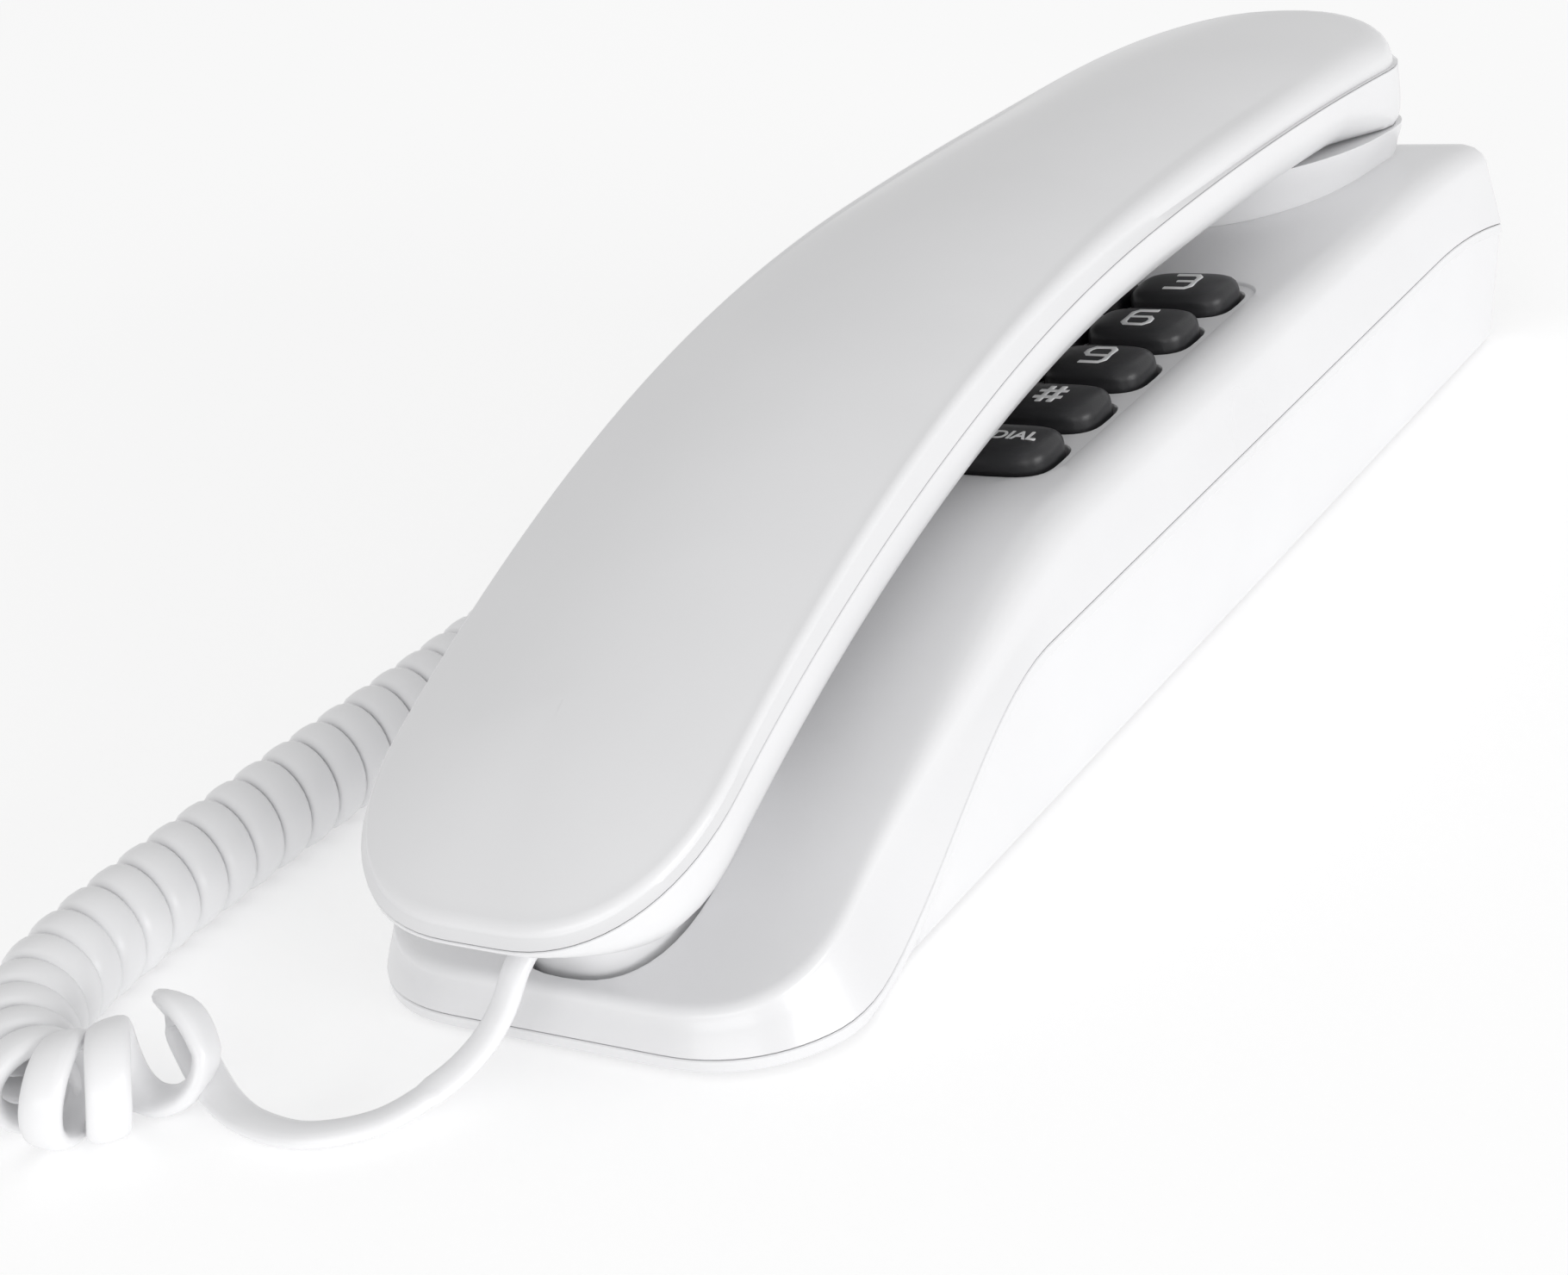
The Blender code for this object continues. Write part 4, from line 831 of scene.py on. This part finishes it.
# handset, in millimetres; "belly" gives how far in and how far down its underside goes
handset = {
    "mic": -102.5, "ear": 101.6, "half": 21.5, "micRound": 18.5, "micPower": 2.25, "earRound": 17.0,
    "peak": 50.7, "peakPlace": 14.0, "earDrop": 5.9, "micDrop": 31.2, "crown": 3.0,
    "side": 3.4, "micSide": 1.8, "inset": 1.2, "softEdge": 3.4, "crispEdge": 1.2, "wall": 1.8, "gap": 0.1,
    "grip": 12.0, "lip": 3.2, "lipRun": 14, "earPower": 2.0, "planStep": 2.6, "spine": (-80, 90),
    "earRun": 88.5, "micRun": 116.5, "micCurve": 2.1, "sideFrom": -98, "sideRun": 70,
    "edgeFrom": -40, "edgeRun": 90, "crownHalf": 20.6, "crownFrom": 45, "crownRun": 35,
    "bellyFrom": 9.5, "squareFrom": 70, "squareRun": 18,
    "belly": ((0.15, 0.20), (0.55, 0.42), (1.5, 0.60), (3.2, 0.76), (5.5, 0.88)),
    "earHole": (0.9, 23, 27), "earHoles": (0, 79), "earHoleRing": 5,
    "micHole": (0.7, 3, 7), "micHoles": ((-2, -69.1), (0, -69.1), (2, -69.1)),
    "plugChannel": ((-4.1, -101, 9.9), (4.1, -86.0, 16.5)), "screws": (-44.5, 44.5), "screwSeat": (3.1, -4, 1.0),
}


# height of the edge round the top face
def rim(y):
    if y > handset["peakPlace"]:
        return handset["peak"] - handset["earDrop"] * ((y - handset["peakPlace"]) / handset["earRun"]) ** 2
    share = min(handset["micRun"], handset["peakPlace"] - y) / handset["micRun"]
    return handset["peak"] - handset["micDrop"] * share ** handset["micCurve"]


def sideHeight(y):
    rise = smoothStep((y - handset["sideFrom"]) / handset["sideRun"])
    return handset["micSide"] + (handset["side"] - handset["micSide"]) * rise


def handsetOutline():
    return planOutline(handset["half"], handset["mic"], handset["ear"], handset["micRound"], handset["micPower"],
                       handset["earRound"], handset["earPower"], handset["planStep"])


def handsetUpperRings():
    ring = handsetOutline()
    normals = inwardNormals(ring)
    seam = [rim(y) - sideHeight(y) for x, y in ring]
    wall = handset["wall"]
    count = len(ring)
    lean = [handset["inset"] * 0.55] * count
    softer = handset["softEdge"] - handset["crispEdge"]
    radius = [handset["crispEdge"] + softer * smoothStep((y - handset["edgeFrom"]) / handset["edgeRun"])
              for x, y in ring]
    rings = []
    innerTop = insetRing(ring, normals, [wall + 1.6] * count)
    for share in (0.94, 0.55, 0.15):
        plan = towardsMiddle(innerTop, *handset["spine"], share)
        rings.append(lift(plan, [rim(y) - 1.8 + handset["crown"] * (1 - (1 - share) ** 2) * 0.8 for x, y in plan]))
    rings.append(lift(innerTop, [rim(y) - 1.9 for x, y in innerTop]))
    rings.append(lift(insetRing(ring, normals, [wall] * count), seam))
    rings.append(lift(insetRing(ring, normals, [handset["gap"]] * count), seam))
    rings.append(lift(ring, [s + handset["gap"] for s in seam]))

    def topOf(x, y, share=0.0):
        across = max(0.0, 1 - (x / handset["crownHalf"]) ** 2)
        along = 1 - (1 - share) ** 2
        zone = smoothStep((y - handset["crownFrom"]) / handset["crownRun"])
        return rim(y) + handset["crown"] * (along * (1 - zone) + across * zone)

    edge = roundedEdge(ring, normals, lean, radius, topOf, 6)
    rings += edge
    last = planOf(edge[-1])
    for share in (0.03, 0.08, 0.15, 0.24, 0.34, 0.46, 0.58, 0.70, 0.82, 0.94):
        plan = towardsMiddle(last, *handset["spine"], share)
        rings.append(lift(plan, [topOf(x, y, share) for x, y in plan]))
    return rings


# how far the underside lies below the rim
def bellyDepth(y):
    share = min(1, (y - handset["mic"]) / handset["lipRun"])
    return handset["lip"] + (handset["grip"] - handset["lip"]) * math.sin(math.pi / 2 * share)


def under(y):
    return rim(y) - bellyDepth(y)


def handsetLowerRings():
    ring = handsetOutline()
    normals = inwardNormals(ring)
    count = len(ring)
    seam = [rim(y) - sideHeight(y) - handset["gap"] for x, y in ring]
    wall = handset["wall"]
    rings = []
    inner = insetRing(ring, normals, [wall + 1.5] * count)
    for share in (0.94, 0.5, 0.15):
        plan = towardsMiddle(inner, *handset["spine"], share)
        heights = []
        for x, y in plan:
            deeper = bellyDepth(y) - handset["bellyFrom"]
            rounded = under(y) + wall + deeper * 0.35 * (1 - share) ** 2
            heights.append(rounded if deeper > 0 else rim(y) - sideHeight(y) - 0.5)
        rings.append(lift(plan, heights))
    heights = [min(s - 0.5, rim(y) - bellyDepth(y) * 0.66 + wall) for (x, y), s in zip(inner, seam)]
    rings.append(lift(inner, heights))
    rings.append(lift(insetRing(ring, normals, [wall] * count), seam))
    rings.append(lift(insetRing(ring, normals, [handset["gap"]] * count), seam))
    rings.append(lift(ring, [s - handset["gap"] for s in seam]))
    square = [smoothStep((y - handset["squareFrom"]) / handset["squareRun"]) for x, y in ring]
    for depth, share in handset["belly"]:
        plan = insetRing(ring, normals, [depth * (1 - 0.8 * e) for e in square])
        heights = []
        for (px, py), s, e in zip(plan, seam, square):
            top = s - 0.2
            full = max(0.25, top - under(py))
            heights.append(top - full * (share + (1 - share) * 0.5 * e * share))
        rings.append(lift(plan, heights))
    last = planOf(rings[-1])
    lastHeights = [p.z * 1000 for p in rings[-1]]
    for share in (0.10, 0.25, 0.45, 0.7, 0.94):
        plan = towardsMiddle(last, *handset["spine"], share)
        heights = []
        for (x, y), z, (ox, oy) in zip(plan, lastHeights, last):
            heights.append(under(y) + (z - under(oy)) * (1 - share) ** 3)
        rings.append(lift(plan, heights))
    return rings


def makeHandsetUpper():
    piece = growRings("handsetUpper", handsetUpperRings())
    finishShell(piece, "whitePlastic", "handset", "handset_top_shell", 40)


def makeHandsetLower():
    piece = growRings("handsetLower", handsetLowerRings())
    mic = superPlan(micCup["centre"], *micCup["half"], micCup["power"], 56)
    out, rise = micCup["top"]
    micSides = [(margin, lambda y, low=low, drop=drop: max(low, under(y) + drop))
                for margin, drop, low in micCup["flare"]]
    micSides.append((out, lambda y: under(y) + rise))
    earSides = [(margin, lambda y, drop=drop: max(earCup["lowest"], under(y) + drop))
                for margin, drop in earCup["flare"]]
    cups = [block("micCup", mic, micCup["bottom"] + micSides),
            block("earCup", earPlan(earCup["far"]), earCup["bottom"] + earSides)]
    cut(piece, cups, "UNION")
    middleX, middleY = handset["earHoles"]
    places = [(middleX, middleY)]
    for k in range(6):
        angle, reach = math.pi / 3 * k, handset["earHoleRing"]
        places.append((middleX + reach * math.cos(angle), middleY + reach * math.sin(angle)))
    tools = []
    for name, spots in (("earHole", places), ("micHole", handset["micHoles"])):
        radius, low, high = handset[name]
        tools += [barrel(name, spot, [(radius, low), (radius, high)], 16) for spot in spots]
    tools.append(boxTool("plugChannel", *handset["plugChannel"]))
    radius, low, high = handset["screwSeat"]
    for y in handset["screws"]:
        tools.append(barrel("screwSeat", (0, y), [(radius, under(y) + low), (radius, under(y) + high)]))
    cut(piece, tools)
    finishShell(piece, "whitePlastic", "handset", "handset_lower_shell")


makeBaseUpper()
makeBaseLower()
makeHandsetUpper()
makeHandsetLower()


# keys, copied from one, with their legends: each pair is a margin and a height in millimetres
keyCap = {
    "sides": 44, "smooth": 38, "flange": [(0.4, 27.6), (0.4, 28.5)],
    "dome": [(0.0, 28.55), (0.0, 31.5), (-0.06, 32.0), (-0.22, 32.45), (-0.5, 32.82), (-0.9, 33.06), (-1.5, 33.2),
             (-2.4, 33.29), (-3.4, 33.34), (-4.2, 33.36)],
    "inside": [(-2.4, 31.5), (-1.5, 31.3), (-1.4, 31.0), (-1.4, 27.6)],
}
legend = {
    "wide": 3.3, "high": 4.3, "stroke": 0.42, "thick": 0.07, "level": 33.33, "cornerCut": 0.16,
    "wordSize": 0.00142 * 1.75, "wordOffset": 0.00004, "wordStretch": 1.15, "shortWord": 1.2, "longWord": 1.1,
}
keyNames = [["1", "2", "3"], ["4", "5", "6"], ["7", "8", "9"], ["star", "0", "hash"], ["mute", "flash", "redial"]]
box4 = [(-0.5, 0.5), (0.5, 0.5), (0.5, -0.5), (-0.5, -0.5)]
strokes = {
    "1": [[(-0.22, 0.30), (0.05, 0.5), (0.05, -0.5)]],
    "2": [[(-0.5, 0.5), (0.5, 0.5), (0.5, 0.02), (-0.5, 0.02), (-0.5, -0.5), (0.5, -0.5)]],
    "3": [[(-0.5, 0.5), (0.5, 0.5), (0.5, -0.5), (-0.5, -0.5)], [(-0.25, 0.02), (0.46, 0.02)]],
    "4": [[(-0.45, 0.5), (-0.45, -0.08), (0.5, -0.08)], [(0.28, 0.42), (0.28, -0.5)]],
    "5": [[(0.5, 0.5), (-0.5, 0.5), (-0.5, 0.04), (0.5, 0.04), (0.5, -0.5), (-0.5, -0.5)]],
    "6": [[(0.42, 0.5), (-0.5, 0.5), (-0.5, -0.5), (0.5, -0.5), (0.5, 0.04), (-0.46, 0.04)]],
    "7": [[(-0.5, 0.5), (0.5, 0.5), (0.0, -0.5)]],
    "8": [box4 + box4[:1], [(-0.46, 0.02), (0.46, 0.02)]],
    "9": [[(0.46, -0.04), (-0.5, -0.04), (-0.5, 0.5), (0.5, 0.5), (0.5, -0.5), (-0.42, -0.5)]],
    "0": [box4 + box4[:1]],
    "star": [[(0, 0.42), (0, -0.42)], [(-0.38, 0.22), (0.38, -0.22)], [(-0.38, -0.22), (0.38, 0.22)]],
    "hash": [[(-0.22, 0.5), (-0.22, -0.5)], [(0.22, 0.5), (0.22, -0.5)],
             [(-0.55, 0.2), (0.55, 0.2)], [(-0.55, -0.2), (0.55, -0.2)]],
}


# the squarish figures have small slanted corners
def cutCorners(line):
    closed = line[0] == line[-1]
    points = []
    for i, p in enumerate(line):
        before = line[i - 1] if i > 0 else (line[-2] if closed else None)
        after = line[i + 1] if i < len(line) - 1 else (line[1] if closed else None)
        if before is None or after is None:
            points.append(p)
            continue
        for other in (before, after):
            reach = min(0.4, legend["cornerCut"] / max(0.3, math.dist(p, other)))
            points.append((p[0] + (other[0] - p[0]) * reach, p[1] + (other[1] - p[1]) * reach))
    return points


def makeFigure(name, centre):
    data = bpy.data.curves.new("figure_" + name, "CURVE")
    data.dimensions = "3D"
    data.bevel_depth = legend["stroke"] * 0.001
    data.bevel_resolution = 2
    data.use_fill_caps = True
    for line in strokes[name]:
        points = cutCorners(line) if len(line) > 2 else line
        spline = data.splines.new("POLY")
        spline.points.add(len(points) - 1)
        for p, (x, y) in zip(spline.points, points):
            p.co = (x * legend["wide"] * 0.001, y * legend["high"] * 0.001, 0, 1)
    figure = bpy.data.objects.new("figure_" + name, data)
    bpy.context.scene.collection.objects.link(figure)
    makeActive(figure)
    bpy.ops.object.convert(target="MESH")
    return placeFigure(bpy.context.active_object, centre)


def placeFigure(figure, centre):
    high = legend["thick"] / legend["stroke"]
    for corner in figure.data.vertices:
        corner.co.z *= high
    figure.location = mm(centre[0], centre[1], legend["level"])
    settle(figure)
    paint(figure, "legend")
    return figure


def makeLabel(name, centre):
    clearSelection()
    bpy.ops.object.text_add()
    label = bpy.context.active_object
    label.name = "figure_" + name
    label.data.body = name.upper()
    label.data.align_x, label.data.align_y = "CENTER", "CENTER"
    label.data.size = legend["wordSize"]
    label.data.extrude = legend["thick"] * 0.001
    label.data.offset = legend["wordOffset"]
    label.scale = (legend["shortWord"] if len(name) < 6 else legend["longWord"], legend["wordStretch"], 1)
    bpy.ops.object.convert(target="MESH")
    label = bpy.context.active_object
    label.location = mm(centre[0], centre[1], legend["level"])
    settle(label)
    paint(label, "legend")
    return label


def makeKeys():
    plan = superPlan((0, 0), *keypad["half"], keypad["power"], keyCap["sides"])
    first = block("keyShape", plan, keyCap["inside"] + keyCap["flange"] + keyCap["dome"])
    smoothOff(first, keyCap["smooth"])
    for row, names in enumerate(keyNames):
        for column, name in enumerate(names):
            centre = (keypad["columns"][column], keypad["rows"][row])
            cap = bpy.data.objects.new("cap_" + name, first.data.copy())
            bpy.context.scene.collection.objects.link(cap)
            cap.data.transform(Matrix.Translation(mm(centre[0], centre[1], 0)))
            paint(cap, "keyPlastic")
            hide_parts("key_" + name)
            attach(cap, f"key_{name}_cap")
            figure = makeFigure(name, centre) if name in strokes else makeLabel(name, centre)
            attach(figure, f"key_{name}_cap")
    bpy.data.objects.remove(first, do_unlink=True)
    say("keys and legends made")


makeKeys()


# stage and light
stage = {
    "size": 6, "floor": (0.95, 0.95, 0.95), "floorRough": 0.9, "floorGlow": 0.26,
    "world": (1.0, 1.0, 1.0), "worldStrength": 0.68,
    "lamps": {  # place, target, size and power
        "rightLamp": ((1.65, -0.45, 0.24), (0, 0, 0.02), (1.2, 0.45), 10.5),
        "frontLamp": ((0.20, -1.70, 0.26), (0, -0.02, 0.02), (1.4, 0.45), 4.5),
    },
}


def makeStage():
    clearSelection()
    bpy.ops.mesh.primitive_plane_add(size=stage["size"], location=(0, 0, 0))
    floor = bpy.context.active_object
    floor.name = "table"
    made = bpy.data.materials.new("table")
    made.use_nodes = True
    shader = made.node_tree.nodes["Principled BSDF"]
    shader.inputs["Base Color"].default_value = (*stage["floor"], 1)
    shader.inputs["Roughness"].default_value = stage["floorRough"]
    shader.inputs["Specular IOR Level"].default_value = 0.0
    shader.inputs["Emission Color"].default_value = (1, 1, 1, 1)
    shader.inputs["Emission Strength"].default_value = stage["floorGlow"]
    floor.data.materials.append(made)
    world = bpy.data.worlds.new("studio")
    bpy.context.scene.world = world
    world.use_nodes = True
    background = world.node_tree.nodes["Background"]
    background.inputs["Color"].default_value = (*stage["world"], 1)
    background.inputs["Strength"].default_value = stage["worldStrength"]


def addLamp(name, place, target, size, power):
    data = bpy.data.lights.new(name, "AREA")
    data.shape = "RECTANGLE"
    data.size, data.size_y = size
    data.energy = power
    lamp = bpy.data.objects.new(name, data)
    bpy.context.scene.collection.objects.link(lamp)
    lamp.location = place
    aim = Vector(target) - Vector(place)
    lamp.rotation_euler = aim.to_track_quat("-Z", "Y").to_euler()


makeStage()
for name, settings in stage["lamps"].items():
    addLamp(name, *settings)
bpy.context.scene.view_settings.view_transform = "Standard"
say("light set")

# the inside pieces keep their shape and get the finish of their slot
looks = {
    "white_plastic": "whitePlastic", "dark_plastic": "keyPlastic", "rubber": "softRubber",
    "circuit_board": "boardGreen", "black_plastic": "blackPlastic", "clear_plastic": "plug",
    "steel": "zinc", "brass": "brass", "cord_plastic": "cordPlastic",
}
slots = {part["node"]: part["material_slot"] for part in frame["record"]["subparts"]}
for name, node in frame["nodes"].items():
    paint(node, looks[slots[name]])
say("inside pieces painted")
